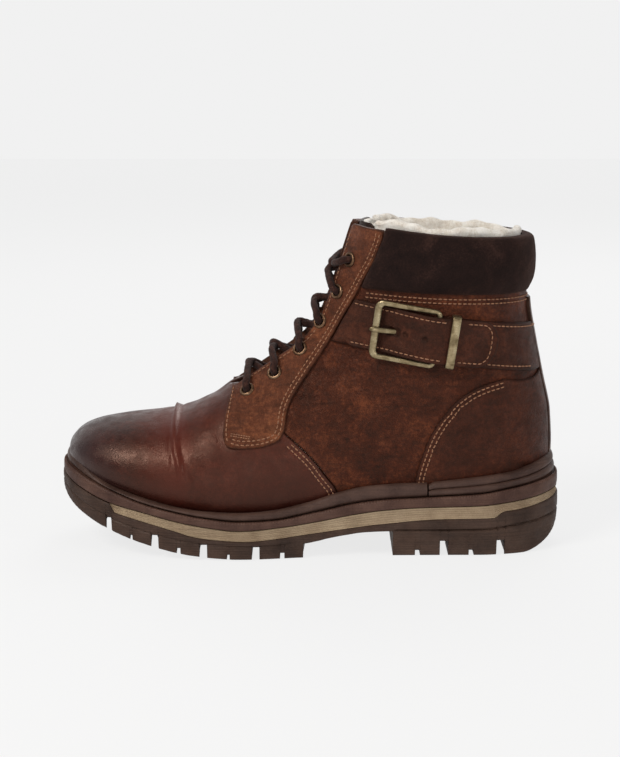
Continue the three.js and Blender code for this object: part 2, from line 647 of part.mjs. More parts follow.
// Under the leather: the toe puff, the heel counter, and the quilted insulation between them.
const PUFF_END = -88;
const counterOutline = [[78, 0], [84, 60], [92, 84], [104, 96], [200, 100], [200, 0]];
const counterCut = moved(counterOutline, -GAP, 0).map(([x, z]) => [x, z > 90 ? z + GAP : z]);
const stiffening = aboveBoard(stiffenerShell);
const tongueRoom = wedge(13, 90);
const tapeRoom = zipStrip(-ZIP_TAPE_WIDTH - GAP, ZIP_TAPE_WIDTH + GAP, 60, 9);
addPart("toe_puff", stiffening.intersect(box(-FAR, gx(PUFF_END), -FAR, FAR, -FAR, FAR)), BOARD_FINISH);
addPart("heel_counter", stiffening.intersect(sidePrism(counterOutline, ...BOTH_SIDES)), BOARD_FINISH);
const insulation = stiffening
  .subtract(box(-FAR, gx(PUFF_END) + GAP, -FAR, FAR, -FAR, FAR))
  .subtract(sidePrism(counterCut, ...BOTH_SIDES))
  .subtract(tongueRoom)
  .subtract(tapeRoom)
  .intersect(sidePrism(below(seam.collarFoot, UNDERLAP), ...BOTH_SIDES));
const INSULATION_SEAM = -10;
const forepart = box(-FAR, gx(INSULATION_SEAM), -FAR, FAR, -FAR, FAR);
const hindpart = box(gx(INSULATION_SEAM) + GAP, FAR, -FAR, FAR, -FAR, FAR);
addPart("insulation_vamp", insulation.intersect(forepart), TAPE);
const insulationBehind = insulation.intersect(hindpart);
addPart("insulation_lateral", insulationBehind.intersect(box(-FAR, FAR, -FAR, -GAP, -FAR, FAR)), TAPE);
addPart("insulation_medial", insulationBehind.intersect(box(-FAR, FAR, GAP, FAR, -FAR, FAR)), TAPE);

// ---------------------------------------------------------------- overlays
const eyestayOutline = [...seam.eyestayFront, ...seam.eyestayRear, [44, 230], [-90, 230]];
const overlay = pierce(overlayShell.subtract(throat), BARREL + EYELET_CLEARANCE)
  .intersect(sidePrism(below(seam.collarTop, -0.6), ...BOTH_SIDES));
for (const [sideName, side] of Object.entries(SIDES)) {
  const half = side < 0 ? OUTER_SIDE : INNER_SIDE;
  addPart("eyestay_" + sideName, overlay.intersect(sidePrism(eyestayOutline, ...half)), LEATHER);
}
const BACKSTAY = { half: 9.5, foot: 49, top: 153 };
// The strap's own frame in the side view: towards the toe and up, from the buckle's hinge bar.
const STRAP_SLOPE = 8.5;
const HINGE_AT = [76, 132.4];
const strapPoint = (along, across) => {
  const c = Math.cos(STRAP_SLOPE * RAD);
  const s = Math.sin(STRAP_SLOPE * RAD);
  return [gx(HINGE_AT[0]) - along * c + across * s, gz(HINGE_AT[1]) + along * s + across * c];
};
const strapHalf = STRAP_WIDTH / 2;
// The strap's rear band, sewn flat down to the backstay, grown by so much on every side.
function strapBand(grow) {
  const half = strapHalf + grow;
  const corners = [[-22 + grow, -half], [-90, -half], [-90, half], [-22 + grow, half]];
  const outline = corners.map(([along, across]) => strapPoint(along, across));
  const shape = new THREE.Shape(outline.map(([x, z]) => new THREE.Vector2(x, z)));
  const g = new THREE.ExtrudeGeometry(shape, { depth: FAR, bevelEnabled: false });
  g.rotateX(Math.PI / 2);
  g.translate(0, grow - BACKSTAY.half - GAP, 0);
  return solidOf(g);
}
const aboveRand = (solid) => solid.subtract(slab(0, raised(weltTop, -9), raised(randTop, GAP)));
const heelOutline = [...seam.heelPanel, [200, 0], [62, 0]];
const heelPanels = aboveRand(overlayShell.intersect(sidePrism(heelOutline, ...BOTH_SIDES))).subtract(
  strapBand(GAP),
);
addPart("heel_panel_lateral", heelPanels.intersect(box(0, FAR, -FAR, -BACKSTAY.half - GAP, -FAR, FAR)), LEATHER);
addPart("heel_panel_medial", heelPanels.intersect(box(0, FAR, BACKSTAY.half + GAP, FAR, -FAR, FAR)), LEATHER);
const backStrip = box(gx(80), FAR, -BACKSTAY.half, BACKSTAY.half, gz(BACKSTAY.foot), gz(BACKSTAY.top));
addPart("backstay", aboveRand(overlayShell.intersect(backStrip)), LEATHER);

// ---------------------------------------------------------------- collar
// How far the padded collar stands out of the surface, against height.
const bulge = graded([
  [100, COVER + 0.2], [155, COVER + 0.2], [158, COVER + 0.6], [163, COVER + 3], [170, COVER + COLLAR_BULGE - 0.6],
  [177, COVER + COLLAR_BULGE], [186, COVER + COLLAR_BULGE - 0.8], [192, COVER + 3], [200, COVER + 1.6],
]);
const collarStart = 45; // rear edge of the eyestays at the collar
const collarBlank = [
  [30.5, 160.5],
  ...moved(seam.eyestayRear.slice(10), GAP, 0),
  ...seam.collarTop.slice(2),
  ...backwards(seam.collarFoot.slice(1)),
];
const RIM = 1.3;
const padOutline = [
  [collarStart - 9.5, 166], [collarStart + 1, 195.2], ...moved(seam.collarTop.slice(2), 0, -RIM - GAP),
  ...backwards(moved(seam.collarFoot.slice(1), 0, UNDERLAP + GAP)),
];
const coverShell = shell((p) => bulge(p.z) - COVER, (p) => bulge(p.z));
const rimShell = shell(LAYER.upper[0] - GAP, (p) => bulge(p.z));
const rimStrip = sidePrism(below(seam.collarTop), ...BOTH_SIDES).subtract(
  sidePrism(below(seam.collarTop, -RIM), ...BOTH_SIDES),
);
const collarCover = coverShell
  .add(rimShell.intersect(rimStrip))
  .intersect(sidePrism(collarBlank, ...BOTH_SIDES))
  .subtract(zipSlot);
const padShell = shell(LAYER.upper[0], (p) => Math.max(LAYER.upper[0] + 0.5, bulge(p.z) - COVER - GAP));
const collarPad = padShell
  .intersect(sidePrism(padOutline, ...BOTH_SIDES))
  .subtract(zipStrip(-ZIP_SLOT / 2 - COVER, ZIP_SLOT / 2 + COVER, 60, 0));
const cuffFront = (solid) => solid.intersect(box(-FAR, FAR, GAP, FAR, -FAR, FAR)).intersect(aheadOfZip);
const cuffBack = (solid) => solid.subtract(cuffFront(solid));
addPart("collar_cuff", cuffBack(collarCover), SUEDE);
addPart("collar_cuff_medial_front", cuffFront(collarCover), SUEDE);
addPart("collar_foam", cuffBack(collarPad), FOAM);
addPart("collar_foam_medial_front", cuffFront(collarPad), FOAM);

// ---------------------------------------------------------------- fleece lining
const liningTop = sidePrism(below(seam.collarTop, FLEECE_RISE), ...BOTH_SIDES);
const liningCut = aboveBoard(liningShell).intersect(liningTop).subtract(tongueRoom);
const LINING_SEAM = 5;
const liningAhead = box(-FAR, gx(LINING_SEAM), -FAR, FAR, -FAR, FAR);
const liningBehind = box(gx(LINING_SEAM) + GAP, FAR, -FAR, FAR, -FAR, FAR);
addPart("lining_vamp", liningCut.intersect(liningAhead), WOOL);
addPart("lining_shaft", liningCut.intersect(liningBehind).subtract(zipStrip(-1.2, 1.2, 60, 4)), WOOL);

// ---------------------------------------------------------------- tongue
const LACE_R = LACE_DIAMETER / 2;
const EYELET_BACK = LAYER.upper[0] - 1 - 0.45; // inner face of the eyelets' rolled flange
const LACE_UNDER = EYELET_BACK - 0.6 - LACE_R; // lace centre where it runs behind the eyestays
const TONGUE_FACE = LACE_UNDER - LACE_R - GAP;
const TONGUE_RISE = 4; // the tongue's top leans forward by this much
const lean = (p) => TONGUE_RISE * THREE.MathUtils.smoothstep(p.z, gz(183), gz(200));
const layerOfTongue = (inner, outer) => shell((p) => inner + lean(p), (p) => outer + lean(p));
const tongueOutline = [...moved(seam.eyestayRear, -1, 0), [40, 198.5], [30, 201], [-100, 201], [-100, 70.7]];
const tongueBlank = wedge(12.5, 86).intersect(sidePrism(tongueOutline, ...BOTH_SIDES));
const tongueSkinInner = TONGUE_FACE - TONGUE;
addPart("tongue", layerOfTongue(tongueSkinInner, TONGUE_FACE).intersect(tongueBlank), LEATHER);
const tonguePile = layerOfTongue(tongueSkinInner - GAP - TONGUE_FLEECE, tongueSkinInner - GAP);
addPart("tongue_lining", tonguePile.intersect(tongueBlank), WOOL);

// ---------------------------------------------------------------- eyelets
const barrelR = BARREL / 2;
const flangeR = EYELET_FLANGE / 2;
const seatHeight = OVERLAY + 0.25;
const crown = seatHeight + EYELET_HEIGHT;
const eyeletShape = new THREE.LatheGeometry(
  ringProfile([
    [EYELET_BORE / 2, EYELET_BACK],
    [barrelR + 0.5, EYELET_BACK],
    [barrelR + 0.5, EYELET_BACK + 0.45],
    [barrelR, EYELET_BACK + 0.45],
    [barrelR, seatHeight],
    [flangeR, seatHeight],
    [flangeR - 0.4, crown - 0.1],
    [EYELET_BORE / 2 + 0.6, crown],
    [EYELET_BORE / 2, seatHeight],
    [EYELET_BORE / 2, EYELET_BACK],
  ]),
  9,
);
for (const seat of seats) {
  addPart(`eyelet_${seat.sideName}_${seat.row + 1}`, placed(eyeletShape, seat), BRASS);
}

// ---------------------------------------------------------------- lace
// A round cord through points in space.
function cord(points, radius, rings, sides = 6) {
  const curve = new THREE.CatmullRomCurve3(points, false, "centripetal");
  const frames = curve.computeFrenetFrames(rings, false);
  const sections = [];
  for (let i = 0; i <= rings; i++) {
    const centre = curve.getPointAt(i / rings);
    const ring = [];
    for (let j = 0; j < sides; j++) {
      const turn = (j / sides) * 2 * Math.PI;
      const p = centre.clone();
      p.addScaledVector(frames.normals[i], radius * Math.cos(turn));
      p.addScaledVector(frames.binormals[i], radius * Math.sin(turn));
      ring.push(p);
    }
    sections.push(ring);
  }
  return loft(sections);
}

// A point above a seat: so far along the surface towards a target, and so far out.
function besideSeat(seat, target, reach, out) {
  const way = target.clone().sub(seat.origin);
  way.addScaledVector(seat.out, -way.dot(seat.out)).normalize();
  return seat.origin.clone().addScaledVector(way, reach).addScaledVector(seat.out, out);
}
const OVER_EYELET = crown + 0.3 + LACE_R;
// Up out of an eyelet and over its flange.
const rising = (seat, target) => [
  besideSeat(seat, target, 0, -1.5),
  besideSeat(seat, target, 0.1, crown - 0.6),
  besideSeat(seat, target, 1.7, OVER_EYELET - 0.2),
  besideSeat(seat, target, flangeR, OVER_EYELET),
];
// From behind the eyestay up into an eyelet.
const entering = (seat, from) => [
  besideSeat(seat, from, 5.2, LACE_UNDER),
  besideSeat(seat, from, 2.4, LACE_UNDER + 0.1),
  besideSeat(seat, from, 0.4, LACE_UNDER + 1),
  besideSeat(seat, from, 0, LACE_UNDER + 3.2),
  besideSeat(seat, from, 0, 0.5),
];
const seatAt = (side, row) => seats.find((s) => s.side === side && s.row === row);
const ridgeBetween = (a, b, out) => skin((a.k + b.k) / 2, 0, out);
const edgeOf = (a, b, share, out) => skin(lerp(a.k, b.k, share), lerp(a.a, b.a, share), out);
const strands = [];
for (let row = 0; row < EYELETS.length - 1; row++) {
  for (const side of [-1, 1]) {
    const a = seatAt(side, row);
    const b = seatAt(-side, row + 1);
    const middle = ridgeBetween(a, b, side * (row % 2 ? 1 : -1) > 0 ? 2.4 : 0);
    strands.push([
      ...rising(a, b.origin),
      edgeOf(a, b, 0.36, 3.4),
      middle,
      edgeOf(a, b, 0.7, LACE_UNDER + 1.2),
      ...entering(b, a.origin),
    ]);
  }
}
const [firstOuter, firstInner] = [seatAt(-1, 0), seatAt(1, 0)];
strands.push([
  ...entering(firstOuter, firstInner.origin).reverse(),
  ridgeBetween(firstOuter, firstInner, LACE_UNDER),
  ...entering(firstInner, firstOuter.origin),
]);
const TUCK = [14, 163]; // where the ends lie behind the opposite eyestay
for (const side of [-1, 1]) {
  const a = seatAt(side, EYELETS.length - 1);
  const b = { side: -side, ...seatOn(...TUCK, -side) };
  strands.push([
    ...rising(a, b.origin),
    edgeOf(a, b, 0.36, 3.6),
    ridgeBetween(a, b, side > 0 ? 2.4 : 0),
    edgeOf(a, b, 0.7, LACE_UNDER + 1.2),
    edgeOf(a, b, 0.95, LACE_UNDER),
  ]);
}
const lace = strands.map((points) => cord(points, LACE_R, 10)).reduce((a, b) => a.add(b));
addPart("lace", lace, CORD);

// ---------------------------------------------------------------- strap and buckle
// A leather patch over the surface: a grid of side-view points with its own inner offsets.
function patch(grid, side, inner, thickness) {
  const rows = grid.length;
  const count = grid[0].length;
  const points = [];
  for (const extra of [0, thickness]) {
    grid.forEach((line, i) =>
      line.forEach(([x, z]) => {
        const [k, a] = locate(x, z, side);
        points.push(skin(k, a, inner[i] + extra));
      }),
    );
  }
  const triangles = [];
  const at = (layer, i, j) => (layer * rows + i) * count + j;
  const quad = (a, b, c, d) => triangles.push(a, b, c, a, c, d);
  for (let i = 0; i < rows - 1; i++) {
    for (let j = 0; j < count - 1; j++) {
      quad(at(1, i, j), at(1, i + 1, j), at(1, i + 1, j + 1), at(1, i, j + 1));
      quad(at(0, i, j), at(0, i, j + 1), at(0, i + 1, j + 1), at(0, i + 1, j));
    }
    const last = count - 1;
    quad(at(0, i, 0), at(0, i + 1, 0), at(1, i + 1, 0), at(1, i, 0));
    quad(at(0, i, last), at(1, i, last), at(1, i + 1, last), at(0, i + 1, last));
  }
  for (let j = 0; j < count - 1; j++) {
    const i = rows - 1;
    quad(at(0, 0, j), at(1, 0, j), at(1, 0, j + 1), at(0, 0, j + 1));
    quad(at(0, i, j), at(0, i, j + 1), at(1, i, j + 1), at(1, i, j));
  }
  return solidFrom(points, triangles);
}

const BAR_R = 1.5; // hinge bar
const UNDER_KEEPER = KEEPER_WALL + 2 * GAP; // strap's rear part above the boot where the keeper passes
const LOOP_R = BAR_R + GAP + STRAP; // the fold round the hinge bar
const HINGE_OUT = UNDER_KEEPER + LOOP_R;
const BAR_OUT = 5.5; // the open bar above the surface
const hingeFoot = skin(...locate(...strapPoint(0, 0), -1));
const barFoot = skin(...locate(...strapPoint(BUCKLE_LENGTH, 0), -1));
const buckleMid = surfaceNormal(...locate(...strapPoint(BUCKLE_LENGTH / 2, 0), -1));
const bAlong = barFoot.clone().sub(hingeFoot).normalize();
const bOut = buckleMid.clone().addScaledVector(bAlong, -buckleMid.dot(bAlong)).normalize();
const bUp = bAlong.clone().cross(bOut);
if (bUp.z < 0) bUp.negate();
const inBuckle = (along, up, out) =>
  hingeFoot.clone().addScaledVector(bAlong, along).addScaledVector(bUp, up).addScaledVector(bOut, out);
function buckleBox(a0, a1, u0, u1, o0, o1) {
  const corners = [];
  for (const [u, o] of [[u0, o0], [u1, o0], [u1, o1], [u0, o1]]) corners.push([u, o]);
  return loft([a0, a1].map((a) => corners.map(([u, o]) => inBuckle(a, u, o))));
}
function barAlongUp(radius, half, out, sides = 10) {
  const rings = [-half, half].map((u) => {
    const ring = [];
    for (let j = 0; j < sides; j++) {
      const turn = (j / sides) * 2 * Math.PI;
      ring.push(inBuckle(radius * Math.cos(turn), u, out + radius * Math.sin(turn)));
    }
    return ring;
  });
  return loft(rings);
}

// Front part: from the eyestay under the open bar, over the hinge bar and through the keeper.
const eyestayRearX = smooth(seam.eyestayRear.map(([x, z]) => [gz(z), gx(x)]));
function startAt(across) {
  let along = 50;
  for (let i = 0; i < 30; i++) {
    const [x, z] = strapPoint(along, across);
    along += x - (eyestayRearX(z) + 0.9);
  }
  return along;
}
const FRONT_PATH = [
  [1, 0.35], [0.5, 0.4], [0, 0.55], // shares of the way from the eyestay to the open bar
];
const FRONT_PROFILE = [
  [32, 0.6], [27, 1.6], [22, 3.6], [14, 6], [7, 8.1], [2, 9], [-2, 8.9], [-6, 7.5], [-11, 5.8], [-17, 4.6],
  [-24, 3.2], [-29, 2.5], [-32, 2.2], [-34, 2.1],
];
const tipWidth = smooth([[-34, 0.42], [-32, 0.7], [-29, 0.9], [-24, 1], [60, 1]]);
const ACROSS = [-1, -0.5, 0, 0.5, 1];
const frontGrid = [];
const frontInner = [];
for (const [share, out] of FRONT_PATH) {
  frontGrid.push(
    ACROSS.map((f) => strapPoint(lerp(BUCKLE_LENGTH, startAt(f * strapHalf), share), f * strapHalf)),
  );
  frontInner.push(out);
}
for (const [along, out] of FRONT_PROFILE) {
  frontGrid.push(ACROSS.map((f) => strapPoint(along, f * strapHalf * tipWidth(along))));
  frontInner.push(out);
}
const prongSlot = buckleBox(22, 32, -2.1, 2.1, -4, 20);
let strapFront = patch(frontGrid, -1, frontInner, STRAP).subtract(prongSlot);
for (const along of [18.5, 7]) {
  const [k, a] = locate(...strapPoint(along, 0), -1);
  const hole = new THREE.CylinderGeometry(1.2, 1.2, 30, 10);
  const out = surfaceNormal(k, a);
  const up = new THREE.Vector3(0, 0, 1).addScaledVector(out, -out.z).normalize();
  strapFront = strapFront.subtract(placed(hole, { origin: skin(k, a), out, up, along: out.clone().cross(up) }));
}
addPart("strap_front", strapFront, LEATHER);

// Rear part: folded round the hinge bar, with a gap for the prong, and sewn down at the backstay.
const REAR_PROFILE = [[0, UNDER_KEEPER], [-6, UNDER_KEEPER], [-12, UNDER_KEEPER], [-18, 0.4], [-24, 0]];
const rearGrid = REAR_PROFILE.map(([along]) => ACROSS.map((f) => strapPoint(along, f * strapHalf)));
const rearFold = barAlongUp(LOOP_R, strapHalf, HINGE_OUT);
const strapRear = patch(rearGrid, -1, REAR_PROFILE.map(([, out]) => out), STRAP)
  .add(rearFold)
  .subtract(barAlongUp(BAR_R + GAP, strapHalf + 5, HINGE_OUT))
  .add(overlayShell.intersect(strapBand(0)))
  .subtract(buckleBox(-6, 6, -3.2, 3.2, HINGE_OUT - LOOP_R - 0.2, 20));
addPart("strap_rear", strapRear, LEATHER);

// Buckle frame: one ring of metal; the hinge side is round and the rest is flattened.
const railUp = strapHalf + GAP + 1.9;
const frameOut = (along) => lerp(HINGE_OUT, BAR_OUT, along / BUCKLE_LENGTH);
const FRAME = [
  // along, up, width, thickness
  [0, -strapHalf, 3, 3], [0, strapHalf, 3, 3], [0.6, railUp - 1.2, 3.2, 3], [3, railUp, 3.3, 3], [18, railUp, 3.2, 3],
  [33, railUp, 3.4, 3], [36.2, railUp - 1.4, 3.9, 3], [37, 12.5, 4.4, 3], [37, -12.5, 4.4, 3],
  [36.2, 1.4 - railUp, 3.9, 3], [33, -railUp, 3.4, 3], [18, -railUp, 3.2, 3], [3, -railUp, 3.3, 3],
  [0.6, 1.2 - railUp, 3.2, 3],
];
function frameRings(sides = 8) {
  return FRAME.map(([along, up, width, thick], i) => {
    const before = FRAME[(i + FRAME.length - 1) % FRAME.length];
    const after = FRAME[(i + 1) % FRAME.length];
    const run = new THREE.Vector2(after[0] - before[0], after[1] - before[1]).normalize();
    const ring = [];
    for (let j = 0; j < sides; j++) {
      const turn = ((j + 0.5) / sides) * 2 * Math.PI;
      const w = (width / 2) * Math.cos(turn);
      const o = (thick / 2) * Math.sin(turn);
      ring.push(inBuckle(along + w * run.y, up - w * run.x, frameOut(along) + o));
    }
    return ring;
  });
}
addPart("buckle_frame", loft(frameRings(), true), BRASS);

// Prong: an eye round the hinge bar and a tongue of metal up through the strap onto the open bar.
const PRONG = [[2.4, -0.6], [8, 4.2], [16, 3.25], [22, 3.15], [27, 4.6], [32, 6.8], [37, 8.55], [40.4, 8.6]];
PRONG[0][1] = HINGE_OUT - 0.6;
const prongRings = PRONG.map(([along, out], i) => {
  const [a0, o0] = PRONG[Math.max(0, i - 1)];
  const [a1, o1] = PRONG[Math.min(PRONG.length - 1, i + 1)];
  const run = new THREE.Vector2(a1 - a0, o1 - o0).normalize();
  const ring = [];
  const taper = i === PRONG.length - 1 ? 0.55 : 1;
  for (let j = 0; j < 8; j++) {
    const turn = ((j + 0.5) / 8) * 2 * Math.PI;
    const w = 1.6 * taper * Math.cos(turn);
    const t = 1.1 * taper * Math.sin(turn);
    ring.push(inBuckle(along - t * run.y, w, out + t * run.x));
  }
  return ring;
});
const prongEye = barAlongUp(BAR_R + GAP + 1.1, 2.6, HINGE_OUT);
const prong = prongEye.add(loft(prongRings)).subtract(barAlongUp(BAR_R + GAP, 9, HINGE_OUT));
addPart("buckle_prong", prong, BRASS);

// Keeper: a flat ring round both parts of the strap.
const KEEPER_AT = -8.5;
const keeperSeat = locate(...strapPoint(KEEPER_AT, 0), -1);
const kOut = surfaceNormal(...keeperSeat);
const kAlong = bAlong.clone().addScaledVector(kOut, -bAlong.dot(kOut)).normalize();
const kUp = kAlong.clone().cross(kOut);
if (kUp.z < 0) kUp.negate();
function keeperBox(along, up, out0, out1) {
  const corners = [[-up, out0], [up, out0], [up, out1], [-up, out1]];
  const ring = (a) =>
    corners.map(([u, o]) => skin(...keeperSeat, o).addScaledVector(kAlong, a).addScaledVector(kUp, u));
  return loft([ring(-along), ring(along)]);
}
const keeperHalf = strapHalf + 1;
const keeperFoot = GAP;
const keeperTop = 9.6;
const keeperOuter = keeperBox(KEEPER_WIDTH / 2, keeperHalf + KEEPER_WALL, keeperFoot, keeperTop + KEEPER_WALL);
const keeperHole = keeperBox(KEEPER_WIDTH, keeperHalf, keeperFoot + KEEPER_WALL, keeperTop);
addPart("strap_keeper", keeperOuter.subtract(keeperHole), BRASS);

// ---------------------------------------------------------------- zip
const TAPE_LAYER = [LAYER.upper[0] - GAP - ZIP_TAPE, LAYER.upper[0] - GAP];
const TOOTH_LAYER = [TAPE_LAYER[1] + 0.3, -GAP / 2];
const tapeShell = shell(...TAPE_LAYER);
const toothShell = shell(...TOOTH_LAYER);
const rimCut = sidePrism(below(seam.collarTop, -RIM - 0.5), ...BOTH_SIDES);
const tapeReach = [60, 8];
const toothReach = 2.6; // from the zip's centre to a row's cord
const cordWidth = 1.6;
const toothAcross = 1.1; // how far a tooth passes the centre
const sideLine = new THREE.Vector2(zipDown.x, zipDown.z).normalize();
const sideWay = new THREE.Vector2(-sideLine.y, sideLine.x);
const flatLength = Math.hypot(zipFoot.x - zipTop.x, zipFoot.z - zipTop.z);
const zipFlat = (down, across) => {
  const p = new THREE.Vector2(zipTop.x, zipTop.z).addScaledVector(sideLine, down);
  return p.addScaledVector(sideWay, across);
};
// One comb of teeth on its cord, in the side view. hand is 1 behind the zip and -1 ahead of it.
function comb(hand, phase) {
  const outline = [zipFlat(2, hand * (toothReach + cordWidth)), zipFlat(2, hand * toothReach)];
  for (let down = 3 + phase; down + ZIP_TOOTH < flatLength - 3; down += ZIP_PITCH) {
    outline.push(zipFlat(down, hand * toothReach));
    outline.push(zipFlat(down, -hand * toothAcross));
    outline.push(zipFlat(down + ZIP_TOOTH, -hand * toothAcross));
    outline.push(zipFlat(down + ZIP_TOOTH, hand * toothReach));
  }
  outline.push(zipFlat(flatLength - 1.5, hand * toothReach));
  outline.push(zipFlat(flatLength - 1.5, hand * (toothReach + cordWidth)));
  const g = new THREE.ExtrudeGeometry(new THREE.Shape(outline), { depth: FAR, bevelEnabled: false });
  g.rotateX(Math.PI / 2);
  g.translate(0, FAR, 0);
  return solidOf(g);
}
const HANDS = { rear: 1, front: -1 };
for (const [hand, sign] of Object.entries(HANDS)) {
  const near = sign * (GAP / 2);
  const edge = sign * ZIP_TAPE_WIDTH;
  const strip = zipStrip(Math.min(near, edge), Math.max(near, edge), ...tapeReach);
  addPart(`zip_tape_${hand}`, tapeShell.intersect(strip).intersect(rimCut), TAPE);
  const teeth = toothShell.intersect(comb(sign, sign > 0 ? 0 : ZIP_PITCH / 2));
  addPart(`zip_teeth_${hand}`, teeth, DARK_METAL);
}
const stop = (from, to, down0, down1) => {
  const corners = [zipFlat(down0, from), zipFlat(down1, from), zipFlat(down1, to), zipFlat(down0, to)];
  const g = new THREE.ExtrudeGeometry(new THREE.Shape(corners), { depth: FAR, bevelEnabled: false });
  g.rotateX(Math.PI / 2);
  g.translate(0, FAR, 0);
  return toothShell.intersect(solidOf(g));
};
addPart("zip_top_stop_rear", stop(1, 4.2, -0.6, 1.6), DARK_METAL);
addPart("zip_top_stop_front", stop(-4.2, -1, -0.6, 1.6), DARK_METAL);
addPart("zip_bottom_stop", stop(-4.2, 4.2, flatLength - 1.1, flatLength + 1.4), DARK_METAL);

// Slider and pull, in the zip's own frame.
const inZip = (down, across, out) =>
  zipTop.clone().addScaledVector(zipDown, down).addScaledVector(zipSide, across).addScaledVector(zipOut, out);
function zipBox(d0, d1, a0, a1, o0, o1) {
  const corners = [[a0, o0], [a1, o0], [a1, o1], [a0, o1]];
  return loft([d0, d1].map((d) => corners.map(([a, o]) => inZip(d, a, o))));
}
const SLIDER = { top: 2.2, length: 9.5, half: 5.3, foot: 0.3, plate: 1.3 };
const sliderEnd = SLIDER.top + SLIDER.length;
const plateTop = SLIDER.foot + SLIDER.plate;
const PULL = { eye: 1.9, bore: 1, half: 2.6, length: 20, thickness: 1.3 };
const pinR = PULL.bore - GAP;
const pinOut = plateTop + GAP + PULL.eye;
const pinDown = SLIDER.top + SLIDER.length * 0.55;
function crossPin(radius, half, sides = 10) {
  const rings = [-half, half].map((a) => {
    const ring = [];
    for (let j = 0; j < sides; j++) {
      const turn = (j / sides) * 2 * Math.PI;
      ring.push(inZip(pinDown + radius * Math.cos(turn), a, pinOut + radius * Math.sin(turn)));
    }
    return ring;
  });
  return loft(rings);
}
const flangeIn = toothReach + cordWidth + GAP;
const post = PULL.half + GAP;
const sliderBody = zipBox(SLIDER.top, sliderEnd, -SLIDER.half, SLIDER.half, SLIDER.foot, plateTop)
  .add(zipBox(SLIDER.top, sliderEnd, flangeIn, SLIDER.half, -1.2, plateTop))
  .add(zipBox(SLIDER.top, sliderEnd, -SLIDER.half, -flangeIn, -1.2, plateTop))
  .add(zipBox(pinDown - 1.1, pinDown + 1.1, post, post + 1.2, plateTop - 0.2, pinOut + pinR + 0.4))
  .add(zipBox(pinDown - 1.1, pinDown + 1.1, -post - 1.2, -post, plateTop - 0.2, pinOut + pinR + 0.4))
  .add(crossPin(pinR, post + 0.3));
addPart("zip_slider", sliderBody, BRASS);
const pullTab = zipBox(
  pinDown,
  pinDown + PULL.length,
  -PULL.half,
  PULL.half,
  pinOut - PULL.thickness / 2,
  pinOut + PULL.thickness / 2,
);
addPart("zip_pull", crossPin(PULL.eye, PULL.half).add(pullTab).subtract(crossPin(PULL.bore, 9)), BRASS);

export default parts;
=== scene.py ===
"""Left lace-up ankle boot with a fleece lining: the visual model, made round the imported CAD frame.
Millimetre sizes follow the CAD's own construction; every mesh is written in metres."""
import math
import bmesh
import bpy
import numpy as np
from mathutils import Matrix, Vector
from mathutils.geometry import delaunay_2d_cdt


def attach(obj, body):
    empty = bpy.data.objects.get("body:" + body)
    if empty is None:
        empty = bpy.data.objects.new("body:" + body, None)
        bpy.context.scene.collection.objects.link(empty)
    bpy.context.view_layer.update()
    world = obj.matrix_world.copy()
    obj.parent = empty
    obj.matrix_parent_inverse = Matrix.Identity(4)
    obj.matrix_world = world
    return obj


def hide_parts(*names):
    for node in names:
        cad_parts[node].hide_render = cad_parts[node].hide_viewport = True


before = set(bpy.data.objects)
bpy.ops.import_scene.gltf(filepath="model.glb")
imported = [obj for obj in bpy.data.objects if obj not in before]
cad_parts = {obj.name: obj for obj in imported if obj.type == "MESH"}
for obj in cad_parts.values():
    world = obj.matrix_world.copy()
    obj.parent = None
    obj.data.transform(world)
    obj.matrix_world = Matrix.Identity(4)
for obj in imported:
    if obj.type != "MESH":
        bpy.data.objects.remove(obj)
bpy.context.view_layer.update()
MM = 0.001

# ------------------------------------------------------------------ camera, world and light
scene = bpy.context.scene
CAMERA_AT = Vector((0.0, -1.2, 0.33))
CAMERA_AIM = Vector((0.0, 0.0, 0.1005))
camera_data = bpy.data.cameras.new("camera")
camera_data.lens = 94.2
camera_data.sensor_width = 36
camera_data.clip_start = 0.01
camera = bpy.data.objects.new("camera", camera_data)
camera.location = CAMERA_AT
camera.rotation_euler = (CAMERA_AIM - CAMERA_AT).to_track_quat("-Z", "Y").to_euler()
scene.collection.objects.link(camera)
scene.camera = camera


def area_light(name, at, aim, size, power, color=(1, 1, 1)):
    data = bpy.data.lights.new(name, "AREA")
    data.shape = "DISK"
    data.size = size
    data.energy = power
    data.color = color
    lamp = bpy.data.objects.new(name, data)
    lamp.location = at
    lamp.rotation_euler = (Vector(aim) - Vector(at)).to_track_quat("-Z", "Y").to_euler()
    scene.collection.objects.link(lamp)


area_light("key", (-0.9, -0.9, 1.25), (0, 0, 0.08), 0.7, 18, (1.0, 0.97, 0.93))
area_light("fill", (1.3, -1.0, 0.8), (0, 0, 0.1), 0.8, 5, (0.98, 0.99, 1.0))
area_light("back", (0.3, 1.2, 1.1), (0, 0, 0.1), 0.9, 7)
area_light("front", (0.0, -1.6, 0.25), (0, 0, 0.07), 0.8, 3)

world = bpy.data.worlds.new("studio")
world.use_nodes = True
world.node_tree.nodes["Background"].inputs[0].default_value = (0.88, 0.88, 0.88, 1)
world.node_tree.nodes["Background"].inputs[1].default_value = 0.38
scene.world = world
scene.view_settings.view_transform = "Standard"


